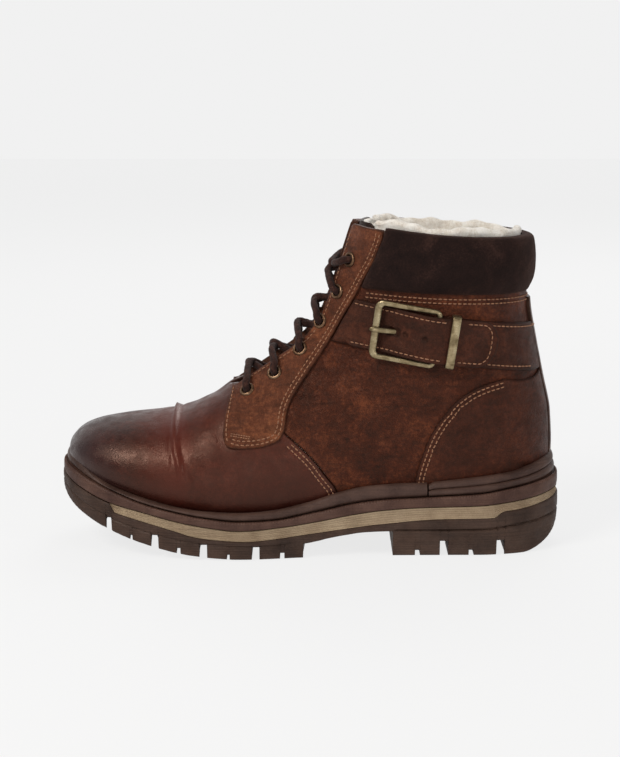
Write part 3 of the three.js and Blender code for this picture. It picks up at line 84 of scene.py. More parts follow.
# ------------------------------------------------------------------ curves, written as in the CAD
def smooth(points):
    xs = np.array([p[0] for p in points], float)
    ys = np.array([p[1] for p in points], float)
    slope = np.diff(ys) / np.diff(xs)
    tangent = np.zeros(len(xs))
    tangent[0], tangent[-1] = slope[0], slope[-1]
    for i in range(1, len(xs) - 1):
        if slope[i - 1] * slope[i] > 0:
            tangent[i] = 2 * slope[i - 1] * slope[i] / (slope[i - 1] + slope[i])

    def at(x):
        x = np.asarray(x, float)
        i = np.clip(np.searchsorted(xs, x, side="left") - 1, 0, len(xs) - 2)
        h = xs[i + 1] - xs[i]
        t = np.clip((x - xs[i]) / h, 0, 1)
        value = ys[i] * (1 + 2 * t) * (1 - t) ** 2 + ys[i + 1] * t * t * (3 - 2 * t)
        return value + h * (tangent[i] * t * (1 - t) ** 2 - tangent[i + 1] * t * t * (1 - t))

    return at


def unit(v):
    """Vectors brought to length 1, one or an array of them."""
    return v / np.maximum(np.linalg.norm(v, axis=-1, keepdims=True), 1e-9)


def run_along(points):
    """Distance along a line of points, from its first one."""
    return np.concatenate([[0], np.cumsum(np.linalg.norm(np.diff(points, axis=0), axis=1))])


def ease(x, low, high):
    """0 below low, 1 above high, and a smooth step between."""
    t = np.clip((np.asarray(x, float) - low) / (high - low), 0, 1)
    return t * t * (3 - 2 * t)


GAP = 0.35
BOOT_LENGTH = 308.0
HALF_WIDTH = smooth([
    (0, 0), (13, 19.5), (25, 34), (38, 45.6), (50, 52.2), (62, 55.3), (75, 53.4), (90, 47),
    (105, 43.2), (120, 43.6), (132, 43.8), (142, 41), (151, 35.6), (160, 27), (169, 16), (180, 0)])
SWING = smooth([(-154, 8), (-113, 5), (-70, 0.8), (-25, -2), (20, -2.5), (86, -1), (154, 0)])
GROUND_LINE = smooth([
    (-154, 33), (-148, 28), (-141, 23.5), (-125, 16), (-111, 11), (-96, 7), (-82, 4), (-67, 1.8), (-52, 0.4),
    (-44, 0), (130, 0), (136, 1.4), (144, 5), (150, 9.5), (154, 14)])
WEB_LINE = smooth([
    (-154, 38), (-141, 30), (-125, 23.4), (-111, 18.6), (-96, 14.6), (-82, 11.8), (-67, 9.6),
    (-52, 8.2), (-40, 7.6), (-4, 8.8), (15, 12.3), (35, 14.8), (48, 15.2), (76, 15.2), (105, 15.6),
    (131, 18.4), (154, 21)])
MIDSOLE_FOOT = smooth([
    (-119, 25.7), (-102, 21.9), (-82, 17.1), (-69, 13.6), (-57, 12), (-38, 10.9), (-20, 12.1),
    (-5, 13.8), (15, 16.2), (45, 19.6), (76, 22.2), (111, 22.8), (117, 26.4), (127, 27.4),
    (154, 31.5)])
MIDSOLE_TOP = smooth([
    (-154, 43.4), (-141, 37.6), (-122, 31.2), (-102, 27.3), (-82, 23), (-63, 19.6), (-43, 17.3), (-15, 19.1),
    (5, 21.8), (25, 25.2), (45, 27.8), (65, 29.2), (101, 30.2), (127, 32.6), (154, 36)])
WELT_TOP = smooth([
    (-154, 50.5), (-148, 48.6), (-133, 42.8), (-117, 37.4), (-102, 32.6), (-82, 28.4), (-62, 25), (-43, 23),
    (-23, 23.4), (5, 28), (25, 32), (45, 34.5), (69, 35.8), (101, 37.6), (125, 41), (154, 45)])
RAND_TOP = smooth([
    (-154, 57), (-147, 54.4), (-134, 46.4), (-123, 41), (-103, 35.2), (-83, 30.9), (-63, 28.5),
    (-43, 27.6), (-22, 28.6), (1, 33.3), (17, 38.4), (35, 42.2), (55, 43.7), (69, 44.2),
    (101, 47.4), (127, 50.5), (154, 57)])

# back x, back z (None on the sole), ridge x, ridge z, half width, widest share, lowest angle
STATIONS = [
    (-149, None, -149, 50, 0.01, 0.3, 66), (-147.4, None, -149, 58.5, 12.8, 0.3, 66),
    (-142.4, None, -144.4, 66.4, 23.6, 0.3, 66), (-131, None, -132.5, 73.2, 35, 0.3, 66),
    (-113, None, -114, 77.2, 43.4, 0.3, 65), (-92, None, -93, 79.8, 47.6, 0.3, 64),
    (-70, None, -73, 84.3, 48.6, 0.3, 63), (-48, None, -59, 91.2, 47.4, 0.3, 62),
    (-25, None, -48, 99, 45, 0.3, 60), (0, None, -39, 105.8, 42.2, 0.3, 58),
    (27, None, -31, 112.4, 40.2, 0.3, 57), (56, None, -23, 119, 39.2, 0.3, 57),
    (86, None, -15, 125.6, 38.8, 0.3, 57), (112, None, -8, 132, 38.4, 0.3, 53),
    (134, None, -2, 138.4, 39, 0.34, 36), (146.5, None, 3, 144.6, 39.6, 0.4, 0),
    (147.5, 62, 7.6, 152.4, 39.8, 0.43, 0), (146.4, 82, 11.6, 161, 40, 0.45, 0),
    (142.2, 102, 15, 169.6, 40.1, 0.47, 0), (137.2, 126, 18.4, 178.6, 40.4, 0.49, 0),
    (133, 150, 21.4, 187, 40.8, 0.5, 0), (131.6, 172, 24, 194.4, 41.4, 0.5, 0),
    (131, 190, 26, 200, 42, 0.5, 0), (130.6, 200, 27.6, 206, 42.2, 0.5, 0)]
LAST = len(STATIONS) - 1
HEEL_CORNER = 15
_filled = [[float(WELT_TOP(s[0])) + GAP if v is None else v for v in s] for s in STATIONS]
_columns = [smooth([(k, s[c]) for k, s in enumerate(_filled)]) for c in range(7)]


def surface(station, across):
    """Points of the upper's bare surface. across runs from -1, the outer edge, over the ridge, to 1."""
    station = np.asarray(station, float)
    across = np.asarray(across, float)
    bx, bz, fx, fz, wide, share, lowest = [c(station) for c in _columns]
    start = np.radians(lowest)
    girth = across * (np.pi - start)
    height = np.hypot(fx - bx, fz - bz)
    below = share * height / np.cos(start)
    turn = np.cos(girth)
    along = np.where(turn < 0, below * (np.cos(start) + turn), share * height + (1 - share) * height * turn)
    t = np.where(height > 1e-9, along / np.maximum(height, 1e-9), 0)
    x = bx + (fx - bx) * t
    z = bz + (fz - bz) * t
    fade = ease(z, 60, 140)
    y = SWING(x) * (1 - fade) + wide * np.sin(girth)
    return np.stack([x, y, z], -1)


TOE_WAY = np.array([-1.0, 0, 0.1])


def normal(station, across, step=0.04):
    """Outward directions of the surface, turned to the toe's own at its pole."""
    k = np.clip(np.asarray(station, float), step, LAST - step)
    a = np.asarray(across, float)
    path = surface(k + step, a) - surface(k - step, a)
    round_ = surface(k, a + step) - surface(k, a - step)
    tip = (1 - ease(k, 0.0, 0.7))[..., None]
    return unit(unit(np.cross(path, round_)) * (1 - tip) + TOE_WAY * tip)


def skin(station, across, offset=0.0):
    """Points off the surface by a number of mm."""
    offset = np.asarray(offset, float)
    return surface(station, across) + normal(station, across) * offset[..., None]


def on_surface(ka):
    """Points of the surface for (station, across) pairs."""
    ka = np.asarray(ka, float)
    return surface(ka[:, 0], ka[:, 1])


def spaced(ka, step):
    """A line of (station, across) pairs, evenly spaced at about the step."""
    ka = np.array(ka, float)
    run = run_along(on_surface(ka))
    s = np.linspace(0, run[-1], max(2, int(run[-1] / step)))
    return [(float(k), float(a)) for k, a in zip(np.interp(s, run, ka[:, 0]), np.interp(s, run, ka[:, 1]))]


def between(p, q, shares):
    """Pairs on the way from one pair to another, at shares of the way."""
    return [(p[0] + (q[0] - p[0]) * t, p[1] + (q[1] - p[1]) * t) for t in shares]


def slopes(k, a):
    """Change of the surface's points per station and per across."""
    pk = (surface(k + 0.01, a) - surface(k - 0.01, a)) / 0.02
    pa = (surface(k, a + 0.005) - surface(k, a - 0.005)) / 0.01
    return pk, pa


def slid(ka, way):
    """Change of (station, across) that moves points by vectors, in mm, along the surface."""
    pk, pa = slopes(ka[:, 0], ka[:, 1])
    g11, g12, g22 = (pk * pk).sum(1), (pk * pa).sum(1), (pa * pa).sum(1)
    det = np.maximum(g11 * g22 - g12 ** 2, 1e-6)
    bk, ba = (way * pk).sum(1), (way * pa).sum(1)
    return np.stack([(g22 * bk - g12 * ba) / det, (g11 * ba - g12 * bk) / det], -1)


_gk, _ga = np.meshgrid(np.arange(0.25, LAST + 0.01, 0.25), np.arange(0.02, 1.001, 0.02), indexing="ij")
_grid = {side: surface(_gk, side * _ga) for side in (-1, 1)}


def locate(x, z, side):
    """Where a point of the side view lies on one side's surface: (station, across)."""
    g = _grid[side]
    i = np.argmin((g[..., 0] - x) ** 2 + (g[..., 2] - z) ** 2)
    k, a = float(_gk.flat[i]), float(_ga.flat[i])
    step = 0.01
    for _ in range(14):
        p = surface(k, side * a)
        pk = surface(k + step, side * a) - p
        pa = surface(k, side * (a + step)) - p
        det = pk[0] * pa[2] - pk[2] * pa[0]
        if abs(det) < 1e-9:
            break
        ex, ez = (x - p[0]) * step, (z - p[2]) * step
        k = min(max(k + (ex * pa[2] - ez * pa[0]) / det, 0.1), LAST - step)
        a = min(max(a + (ez * pk[0] - ex * pk[2]) / det, 0.005), 1.0)
    return k, side * a


def noise(p, seed=0.0):
    """Smooth cheap noise in about -1..1 from points in any unit."""
    p = np.asarray(p, float)
    x, y, z = p[..., 0], p[..., 1], p[..., 2]
    v = np.zeros(x.shape)
    total = 0.0
    for i in range(5):
        f = 1.0 + 0.83 * i
        s = seed + 3.7 * i
        flow = np.sin(f * x + 1.7 * np.sin(f * 0.9 * y + s) + s)
        v += flow * np.sin(f * 1.1 * z + 1.3 * np.sin(f * 0.8 * x + s * 2)) / f
        total += 0.7 / f
    return v / total


# ------------------------------------------------------------------ objects
def make_object(name, verts_mm, faces, material, outward=True):
    """A smooth-shaded object from points in mm, its faces turned outward."""
    mesh = bpy.data.meshes.new(name)
    mesh.from_pydata([tuple(v) for v in np.asarray(verts_mm, float) * MM], [], [tuple(f) for f in faces])
    mesh.validate()
    mesh.update()
    mesh.shade_smooth()
    obj = bpy.data.objects.new(name, mesh)
    scene.collection.objects.link(obj)
    mesh.materials.append(material)
    if outward:
        bm = bmesh.new()
        bm.from_mesh(mesh)
        bmesh.ops.recalc_face_normals(bm, faces=bm.faces)
        bm.to_mesh(mesh)
        bm.free()
    return obj


def tube_faces(rings, sides, closed=False, start=0):
    """Faces over rings of vertices, joined end to end or capped."""
    faces = []
    for i in range(rings if closed else rings - 1):
        a, b = start + i * sides, start + (i + 1) % rings * sides
        faces += [(a + j, a + (j + 1) % sides, b + (j + 1) % sides, b + j) for j in range(sides)]
    if not closed:
        faces.append(tuple(start + j for j in reversed(range(sides))))
        faces.append(tuple(start + (rings - 1) * sides + j for j in range(sides)))
    return faces


def rim_of(faces):
    """Directed edges that no second face shares."""
    edges = dict.fromkeys((f[i], f[(i + 1) % len(f)]) for f in faces for i in range(len(f)))
    return [e for e in edges if (e[1], e[0]) not in edges]


def attribute(obj, name, values):
    layer = obj.data.attributes.new(name, "FLOAT", "POINT")
    layer.data.foreach_set("value", np.asarray(values, np.float32))


def finish_piece(obj, slot, *nodes, body="boot", fill=None):
    """Ties a piece to its body and hides the CAD nodes it stands for; slot is not used; fill, a padded piece's,
    is not used.
    """
    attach(obj, body)
    if nodes:
        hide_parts(*nodes)
    return obj


# ------------------------------------------------------------------ leather panels on the surface
def resample(points, step):
    """Points along a polyline at about the step, keeping its corners."""
    out = []
    for (x0, y0), (x1, y1) in zip(points, points[1:]):
        n = max(1, int(round(math.hypot(x1 - x0, y1 - y0) / step)))
        out += [(x0 + (x1 - x0) * i / n, y0 + (y1 - y0) * i / n) for i in range(n)]
    return out + [points[-1]]


def rounded(points, passes=2):
    """A polyline with its inner corners softened."""
    for _ in range(passes):
        new = [points[0]]
        for p, q in zip(points, points[1:]):
            new.append((p[0] * 0.75 + q[0] * 0.25, p[1] * 0.75 + q[1] * 0.25))
            new.append((p[0] * 0.25 + q[0] * 0.75, p[1] * 0.25 + q[1] * 0.75))
        points = new + [points[-1]]
    return points


def inside(px, py, poly):
    """Which points lie inside a closed polygon."""
    px, py = np.asarray(px), np.asarray(py)
    hit = np.zeros(px.shape, bool)
    for (x0, y0), (x1, y1) in zip(poly, poly[1:] + poly[:1]):
        cross = (y0 > py) != (y1 > py)
        with np.errstate(divide="ignore", invalid="ignore"):
            at = (x1 - x0) * (py - y0) / (y1 - y0) + x0
        hit ^= cross & (px < at)
    return hit


def distance_to(points, loops):
    """Distance in mm from 3-D points to closed 3-D loops."""
    best = np.full(len(points), 1e9)
    for loop in loops:
        a = np.asarray(loop)
        b = np.roll(a, -1, axis=0)
        for lo in range(0, len(points), 4000):
            p = points[lo:lo + 4000, None, :]
            ab = (b - a)[None]
            t = np.clip(((p - a[None]) * ab).sum(-1) / np.maximum((ab ** 2).sum(-1), 1e-12), 0, 1)
            d = np.linalg.norm(p - (a[None] + ab * t[..., None]), axis=-1).min(1)
            best[lo:lo + 4000] = np.minimum(best[lo:lo + 4000], d)
    return best


ROWS = (0.0, 0.18, 0.45, 0.9, 1.6, 2.4)


def round_edge(dist, edge):
    """How far a rounded edge lies below the face."""
    return np.where(dist < edge, np.sqrt(np.maximum(edge ** 2 - (edge - dist) ** 2, 0)) - edge, 0)


def panel(name, loop, holes, top, bottom, material, spacing=2.2, edge=0.7, relief=None, rows=ROWS):
    """A sheet on the surface: loop and holes are closed lists of (station, across), offsets are in mm.
    relief(points, distance to the edge, station, across) adds to the offset."""
    loops = [loop] + holes
    scale_a, scale_k = 110.0, 17.0
    flat = lambda ka: np.stack([np.asarray(ka)[:, 1] * scale_a, np.asarray(ka)[:, 0] * scale_k], -1)
    border3 = [on_surface(l) for l in loops]
    verts, edges = [], []
    for l in loops:
        start = len(verts)
        verts += list(l)
        edges += [(start + i, start + (i + 1) % len(l)) for i in range(len(l))]
    polys = [[tuple(p) for p in flat(l)] for l in loops]

    def within(ka):
        f = flat(ka)
        ok = inside(f[:, 0], f[:, 1], polys[0])
        for hole in polys[1:]:
            ok &= ~inside(f[:, 0], f[:, 1], hole)
        return ok

    # rows that follow the border
    extra = []
    for l, points in zip(loops, border3):
        ka = np.array(l)
        tangent = unit(np.roll(points, -1, axis=0) - np.roll(points, 1, axis=0))
        shift = slid(ka, np.cross(normal(ka[:, 0], ka[:, 1]), tangent))
        for d in rows[1:]:
            for sign in (1, -1):
                cand = ka + sign * shift * d
                cand = cand[within(cand)]
                if len(cand):
                    real = distance_to(on_surface(cand), border3)
                    extra += [tuple(c) for c, r in zip(cand, real) if r > d * 0.9]
    # an even filling further in
    ks = np.array([p[0] for p in loop])
    aas = np.array([p[1] for p in loop])
    k = ks.min() + 0.05
    fill = []
    while k < ks.max():
        line_a = np.linspace(aas.min(), aas.max(), 60)
        line = surface(np.full(60, k), line_a)
        length = run_along(line)
        count = max(2, int(length[-1] / spacing))
        stagger = spacing / 2 if len(fill) % 2 else 0
        even = np.interp(np.linspace(0, length[-1], count) + stagger, length, line_a)
        fill.append([(k, a) for a in even])
        step = np.linalg.norm(surface(np.full(60, min(k + 0.02, LAST)), line_a) - line, axis=1).max() / 0.02
        k += min(spacing * 0.9 / max(step, 1.0) * 1.25, 0.5)
    fill = np.array([p for row in fill for p in row])
    fill = fill[within(fill)]
    if len(fill):
        d = distance_to(on_surface(fill), border3)
        fill = fill[d > rows[-1] + spacing * 0.45]
    points = np.array(verts + extra + [tuple(p) for p in fill])
    out = delaunay_2d_cdt([Vector(p) for p in flat(points)], edges, [], 2, 1e-5)
    coords, faces = out[0], out[2]
    ka = np.array([(c[1] / scale_k, c[0] / scale_a) for c in coords])
    base = on_surface(ka)
    dist = distance_to(base, border3)
    offset = top + round_edge(dist, edge)
    if relief is not None:
        offset = offset + relief(base, dist, ka[:, 0], ka[:, 1])
    upper = skin(ka[:, 0], ka[:, 1], offset)
    # skirt down to the bottom
    rim = rim_of(faces)
    rim_verts = sorted({v for e in rim for v in e})
    lower_index = {v: len(upper) + i for i, v in enumerate(rim_verts)}
    low = skin(ka[rim_verts, 0], ka[rim_verts, 1], np.full(len(rim_verts), bottom))
    all_faces = [tuple(f) for f in faces] + [(e[1], e[0], lower_index[e[0]], lower_index[e[1]]) for e in rim]
    obj = make_object(name, np.concatenate([upper, low]), all_faces, material)
    attribute(obj, "edge", np.concatenate([np.minimum(dist, 40), np.zeros(len(low))]) * MM)
    return obj


def groove(dist, at, depth=0.28, width=0.55):
    """A line pressed in beside the edge, under a row of stitches."""
    return -depth * np.exp(-((dist - at) / width) ** 2)


# ------------------------------------------------------------------ stitching
STITCH_POINTS = []


def stitches(points_ka, offset, pitch=3.0, length=2.2, radius=0.38, skip_ends=0.5):
    """Collects thread stitches along a line on the surface, given as (station, across)."""
    ka = np.array(points_ka, float)
    run = run_along(on_surface(ka))
    s = skip_ends
    while s + length < run[-1]:
        ts = np.array([s, s + length * 0.25, s + length * 0.75, s + length])
        k = np.interp(ts, run, ka[:, 0])
        a = np.interp(ts, run, ka[:, 1])
        off = offset + np.array([-0.35, 0.22, 0.22, -0.35])
        STITCH_POINTS.append((skin(k, a, off), normal(k, a), radius))
        s += pitch


def build_stitches(name, material, sides=6):
    """Every stitch collected so far, as one object."""
    verts, faces = [], []
    for pts, out, radius in STITCH_POINTS:
        last = len(pts) - 1
        faces += tube_faces(last + 1, sides, start=len(verts))
        for i, p in enumerate(pts):
            t = unit(pts[min(i + 1, last)] - pts[max(i - 1, 0)])
            side = unit(np.cross(t, out[i]))
            up = np.cross(side, t)
            r = radius * (0.6 if i in (0, last) else 1.0)
            for j in range(sides):
                w = 2 * math.pi * j / sides
                verts.append(p + side * (r * math.cos(w)) + up * (r * 0.8 * math.sin(w)))
    obj = make_object(name, verts, faces, material, outward=False)
    STITCH_POINTS.clear()
    return finish_piece(obj, None)


def sweep(points, radius, sides, section):
    """Vertices and faces of a tube through 3-D points; section(j, i) scales the radius."""
    pts = np.asarray(points, float)
    tangent = unit(np.gradient(pts, axis=0))
    side = np.cross(tangent[0], (0, 0, 1.0))
    if np.linalg.norm(side) < 1e-3:
        side = np.cross(tangent[0], (1, 0, 0))
    verts = []
    for i in range(len(pts)):
        side = unit(side - tangent[i] * side.dot(tangent[i]))
        other = np.cross(tangent[i], side)
        for j in range(sides):
            w = 2 * math.pi * j / sides
            r = radius * section(j, i)
            verts.append(pts[i] + side * (r * math.cos(w)) + other * (r * math.sin(w)))
    return verts, tube_faces(len(pts), sides)


def catmull(points, per=8):
    """A smooth open line through points, with centripetal knots as in the CAD's cords."""
    p = np.asarray(points, float)
    last = len(p) - 1
    out = []
    for i in range(last):
        p0, p1, p2, p3 = (p[j] for j in (max(i - 1, 0), i, i + 1, min(i + 2, last)))
        d01 = max(np.linalg.norm(p1 - p0) ** 0.5, 1e-4)
        d12 = max(np.linalg.norm(p2 - p1) ** 0.5, 1e-4)
        d23 = max(np.linalg.norm(p3 - p2) ** 0.5, 1e-4)
        m1 = ((p1 - p0) / d01 - (p2 - p0) / (d01 + d12) + (p2 - p1) / d12) * d12
        m2 = ((p2 - p1) / d12 - (p3 - p1) / (d12 + d23) + (p3 - p2) / d23) * d12
        if i == 0:
            m1 = p2 - p1
        if i + 1 == last:
            m2 = p2 - p1
        for q in range(per):
            t = q / per
            turn = 2 * t ** 3 - 3 * t ** 2
            out.append((turn + 1) * p1 + (t ** 3 - 2 * t ** 2 + t) * m1 - turn * p2 + (t ** 3 - t ** 2) * m2)
    out.append(p[-1])
    return np.array(out)


# ------------------------------------------------------------------ materials
def tone(r, g, b):
    """A colour given in 0-255 display values."""
    shares = [c / 255 for c in (r, g, b)]
    linear = [((c + 0.055) / 1.055) ** 2.4 if c > 10 / 255 else c / 12.92 for c in shares]
    return tuple(linear) + (1.0,)


class Finish:
    """One procedural material and short ways to add its nodes."""

    def __init__(self, name, metallic=0.0, roughness=0.5):
        self.material = bpy.data.materials.new(name)
        self.material.use_nodes = True
        self.tree = self.material.node_tree
        self.shader = self.tree.nodes["Principled BSDF"]
        self.shader.inputs["Metallic"].default_value = metallic
        self.shader.inputs["Roughness"].default_value = roughness
        self.place = self.tree.nodes.new("ShaderNodeTexCoord").outputs["Object"]

    def plug(self, socket, value):
        if isinstance(value, bpy.types.NodeSocket):
            self.tree.links.new(value, socket)
        else:
            socket.default_value = value

    def node(self, kind, sockets, out, **settings):
        """Adds a node with its settings and what its sockets get, and gives one of its outputs."""
        node = self.tree.nodes.new("ShaderNode" + kind)
        for name, value in settings.items():
            setattr(node, name, value)
        for socket, value in sockets.items():
            self.plug(node.inputs[socket], value)
        return node.outputs[out]

    def at(self, scale):
        return self.node("Mapping", {"Vector": self.place, "Scale": scale}, "Vector")

    def noise(self, scale, detail=3, rough=0.55, distortion=0.0, at=None):
        sockets = {"Vector": at or self.place, "Scale": scale, "Detail": detail, "Roughness": rough}
        return self.node("TexNoise", {**sockets, "Distortion": distortion}, "Fac")

    def cells(self, scale, feature="DISTANCE_TO_EDGE", at=None, randomness=1.0):
        sockets = {"Vector": at or self.place, "Scale": scale, "Randomness": randomness}
        return self.node("TexVoronoi", sockets, "Distance", feature=feature)

    def ramp(self, fac, *stops):
        node = self.tree.nodes.new("ShaderNodeValToRGB")
        self.plug(node.inputs["Fac"], fac)
        elements = node.color_ramp.elements
        while len(elements) < len(stops):
            elements.new(0.5)
        for element, (position, color) in zip(elements, stops):
            element.position = position
            element.color = color
        return node.outputs["Color"]

    def maths(self, operation, a, b=0.0):
        return self.node("Math", {0: a, 1: b}, 0, operation=operation)

    def weigh(self, a, share_a, b, share_b):
        """Two values added in shares."""
        return self.maths("ADD", self.maths("MULTIPLY", a, share_a), self.maths("MULTIPLY", b, share_b))

    def span(self, value, low, high, to_low=0.0, to_high=1.0):
        sockets = {"Value": value, 1: low, 2: high, 3: to_low, 4: to_high}
        return self.node("MapRange", sockets, "Result", interpolation_type="SMOOTHSTEP")

    def mix(self, fac, a, b):
        return self.node("Mix", {0: fac, 6: a, 7: b}, 2, data_type="RGBA")

    def axis(self, which):
        return self.node("SeparateXYZ", {0: self.place}, which)

    def edge(self):
        return self.node("Attribute", {}, "Fac", attribute_name="edge")

    def bump(self, height, strength, distance, under=None):
        sockets = {"Height": height, "Strength": strength, "Distance": distance}
        if under is not None:
            sockets["Normal"] = under
        return self.node("Bump", sockets, "Normal")

    def done(self, color=None, roughness=None, normal=None, **more):
        if color is not None:
            self.plug(self.shader.inputs["Base Color"], color)
        if roughness is not None:
            self.plug(self.shader.inputs["Roughness"], roughness)
        if normal is not None:
            self.plug(self.shader.inputs["Normal"], normal)
        for name, value in more.items():
            self.plug(self.shader.inputs[name.replace("_", " ")], value)
        return self.material


def leather(name, dark, mid, light, shine=0.42, grain=950, burnish_and_low_shade=False, crease=0.35, gloss=0.27, pore=0.42):
    """Waxed pull-up leather: mottled, finely grained, creased, and darker where it is cut and skived; with the
    toe finish on, also a burnished toe, a red cap and painted shade that darkens the lower part.
    """
    f = Finish(name)
    mottle = f.noise(26, 4, 0.6, 0.6)
    patch = f.noise(95, 4, 0.62, 0.8)
    fine = f.noise(480, 4, 0.65, 0.4)
    coarse = f.weigh(mottle, 0.36, patch, 0.3)
    tone_mix = f.maths("ADD", coarse, f.maths("MULTIPLY", fine, 0.34))
    color = f.ramp(tone_mix, (0.37, tone(*dark)), (0.5, tone(*mid)), (0.63, tone(*light)))
    streak = f.noise(60, 3, 0.5, 0.3, at=f.at((1.0, 1.0, 4.5)))
    color = f.mix(f.span(streak, 0.5, 0.72, 0.0, 0.4), color, tone(*[c * 0.62 for c in dark]))
    pores = f.cells(grain, at=f.at((1, 1, 1.25)))
    color = f.mix(f.span(pores, 0.0, 0.12, 0.5, 0.0), color, tone(*[c * 0.5 for c in dark]))
    rough = f.span(f.noise(150, 3), 0.3, 0.72, shine - 0.05, shine + 0.16)
    if burnish_and_low_shade:
        x = f.axis(0)
        wander = f.maths("MULTIPLY", f.maths("SUBTRACT", f.noise(30, 3), 0.5), 0.03)
        along = f.maths("ADD", x, wander)
        toe = f.span(along, -0.148, -0.098, 1.0, 0.0)
        cap = f.span(along, -0.112, -0.082, 0.0, 1.0)
        behind = f.span(along, -0.079, -0.07, 1.0, 0.35)
        red = f.maths("MULTIPLY", f.maths("MULTIPLY", cap, behind), 0.6)
        color = f.mix(red, color, tone(88, 33, 24))
        color = f.mix(f.maths("MULTIPLY", toe, 0.9), color, tone(42, 33, 36))
        # painted shade: the vamp's lower part, below 66 mm, is darkened towards the welt by height alone
        low = f.span(f.maths("ADD", f.axis(2), wander), 0.03, 0.066, 0.6, 0.0)
        color = f.mix(low, color, tone(36, 15, 11))
        rough = f.maths("SUBTRACT", rough, f.maths("MULTIPLY", toe, 0.06))
    rim = f.span(f.edge(), 0.0002, 0.0016, 0.55, 0.0)
    color = f.mix(rim, color, tone(*[c * 0.55 for c in dark]))
    grain_bump = f.bump(f.span(pores, 0.0, 0.35), pore, 0.0004)
    lines = f.noise(170, 5, 0.62, 1.6, at=f.at((1, 1, 1.7)))
    folds = f.maths("ABSOLUTE", f.maths("SUBTRACT", lines, 0.5))
    fold_bump = f.bump(f.span(folds, 0.0, 0.06), crease, 0.0005, grain_bump)
    soft = f.bump(f.noise(330, 4, 0.6), 0.3, 0.0004, fold_bump)
    return f.done(color, rough, soft, Specular_IOR_Level=gloss, Specular_Tint=tone(255, 206, 182))


def suede(name):
    f = Finish(name, roughness=0.95)
    nap = f.noise(900, 4, 0.7)
    worn = f.noise(55, 4, 0.6, 0.8)
    color = f.ramp(f.weigh(nap, 0.45, worn, 0.55),
                   (0.34, tone(17, 9, 8)), (0.52, tone(31, 18, 15)), (0.68, tone(54, 35, 29)))
    fibre = f.bump(f.noise(2600, 3, 0.7), 0.6, 0.0004)
    cloud = f.bump(f.noise(260, 4, 0.6, 1.0), 0.35, 0.0008, fibre)
    f.shader.inputs["Sheen Tint"].default_value = tone(120, 84, 70)
    return f.done(color, None, cloud, Sheen_Weight=0.28, Sheen_Roughness=0.5, Specular_IOR_Level=0.15)


def fleece(name, low=(214, 200, 182), high=(255, 251, 243)):
    f = Finish(name, roughness=1.0)
    curl = f.noise(420, 5, 0.65, 1.4)
    clump = f.noise(110, 3, 0.5)
    between_them = [(a + 2 * b) / 3 for a, b in zip(low, high)]
    color = f.ramp(f.weigh(curl, 0.5, clump, 0.5),
                   (0.36, tone(*low)), (0.52, tone(*between_them)), (0.66, tone(*high)))
    fibre = f.bump(f.noise(1900, 4, 0.7, 1.0), 0.7, 0.0006)
    curls = f.bump(curl, 0.8, 0.0014, fibre)
    return f.done(color, None, curls, Sheen_Weight=0.5, Sheen_Roughness=0.6, Specular_IOR_Level=0.1)


def rubber(name, dark, light, scale=1.0, rough=0.62):
    f = Finish(name)
    cloud = f.noise(45, 4, 0.6)
    speck = f.noise(1400, 2, 0.6)
    color = f.ramp(f.weigh(cloud, 0.75, speck, 0.25),
                   (0.36, tone(*dark)), (0.64, tone(*light)))
    lines = f.noise(420, 2, 0.5, 0.0, at=f.at((0.05, 0.05, 3.2)))
    color = f.mix(f.span(lines, 0.45, 0.7, 0.0, 0.28), color, tone(*[c * 0.7 for c in dark]))
    skin_bump = f.bump(f.noise(1700, 3, 0.6), 0.25, 0.0002)
    line_bump = f.bump(lines, 0.3 * scale, 0.0004, skin_bump)
    shine = f.span(f.noise(120, 3), 0.3, 0.7, rough - 0.08, rough + 0.12)
    return f.done(color, shine, line_bump, Specular_IOR_Level=0.2)


def antique(name, dark, mid, light, rough=0.34):
    f = Finish(name, metallic=0.92)
    patina = f.noise(150, 4, 0.6, 0.6)
    rub = f.noise(1300, 3, 0.6, 0.2, at=f.at((0.25, 0.25, 3)))
    color = f.ramp(f.weigh(patina, 0.7, rub, 0.3),
                   (0.34, tone(*dark)), (0.5, tone(*mid)), (0.68, tone(*light)))
    shine = f.span(patina, 0.3, 0.7, rough + 0.16, rough - 0.06)
    scratch = f.bump(rub, 0.12, 0.0001)
    return f.done(color, shine, scratch)


def thread(name, dark, light, pitch=2600):
    f = Finish(name, roughness=0.75)
    ply = f.noise(pitch, 2, 0.5, 0.5)
    color = f.ramp(ply, (0.35, tone(*dark)), (0.65, tone(*light)))
    return f.done(color, None, f.bump(ply, 0.5, 0.0002), Sheen_Weight=0.15, Specular_IOR_Level=0.3)


def cloth(name, dark, light, pitch=1500):
    f = Finish(name, roughness=0.85)
    weave = f.cells(pitch, "F1", randomness=0.15)
    cloud = f.noise(90, 3)
    color = f.ramp(f.weigh(weave, 0.5, cloud, 0.5),
                   (0.3, tone(*light)), (0.62, tone(*dark)))
    return f.done(color, None, f.bump(weave, 0.6, 0.0003), Sheen_Weight=0.2, Specular_IOR_Level=0.25)


def lace_cloth(name):
    f = Finish(name, roughness=0.8)
    fibre = f.noise(2400, 3, 0.6)
    fleck = f.noise(330, 3, 0.6)
    color = f.ramp(f.weigh(fibre, 0.5, fleck, 0.5),
                   (0.36, tone(26, 13, 10)), (0.54, tone(52, 29, 23)), (0.7, tone(92, 60, 48)))
    return f.done(color, None, f.bump(fibre, 0.7, 0.0003), Sheen_Weight=0.06, Specular_IOR_Level=0.15)


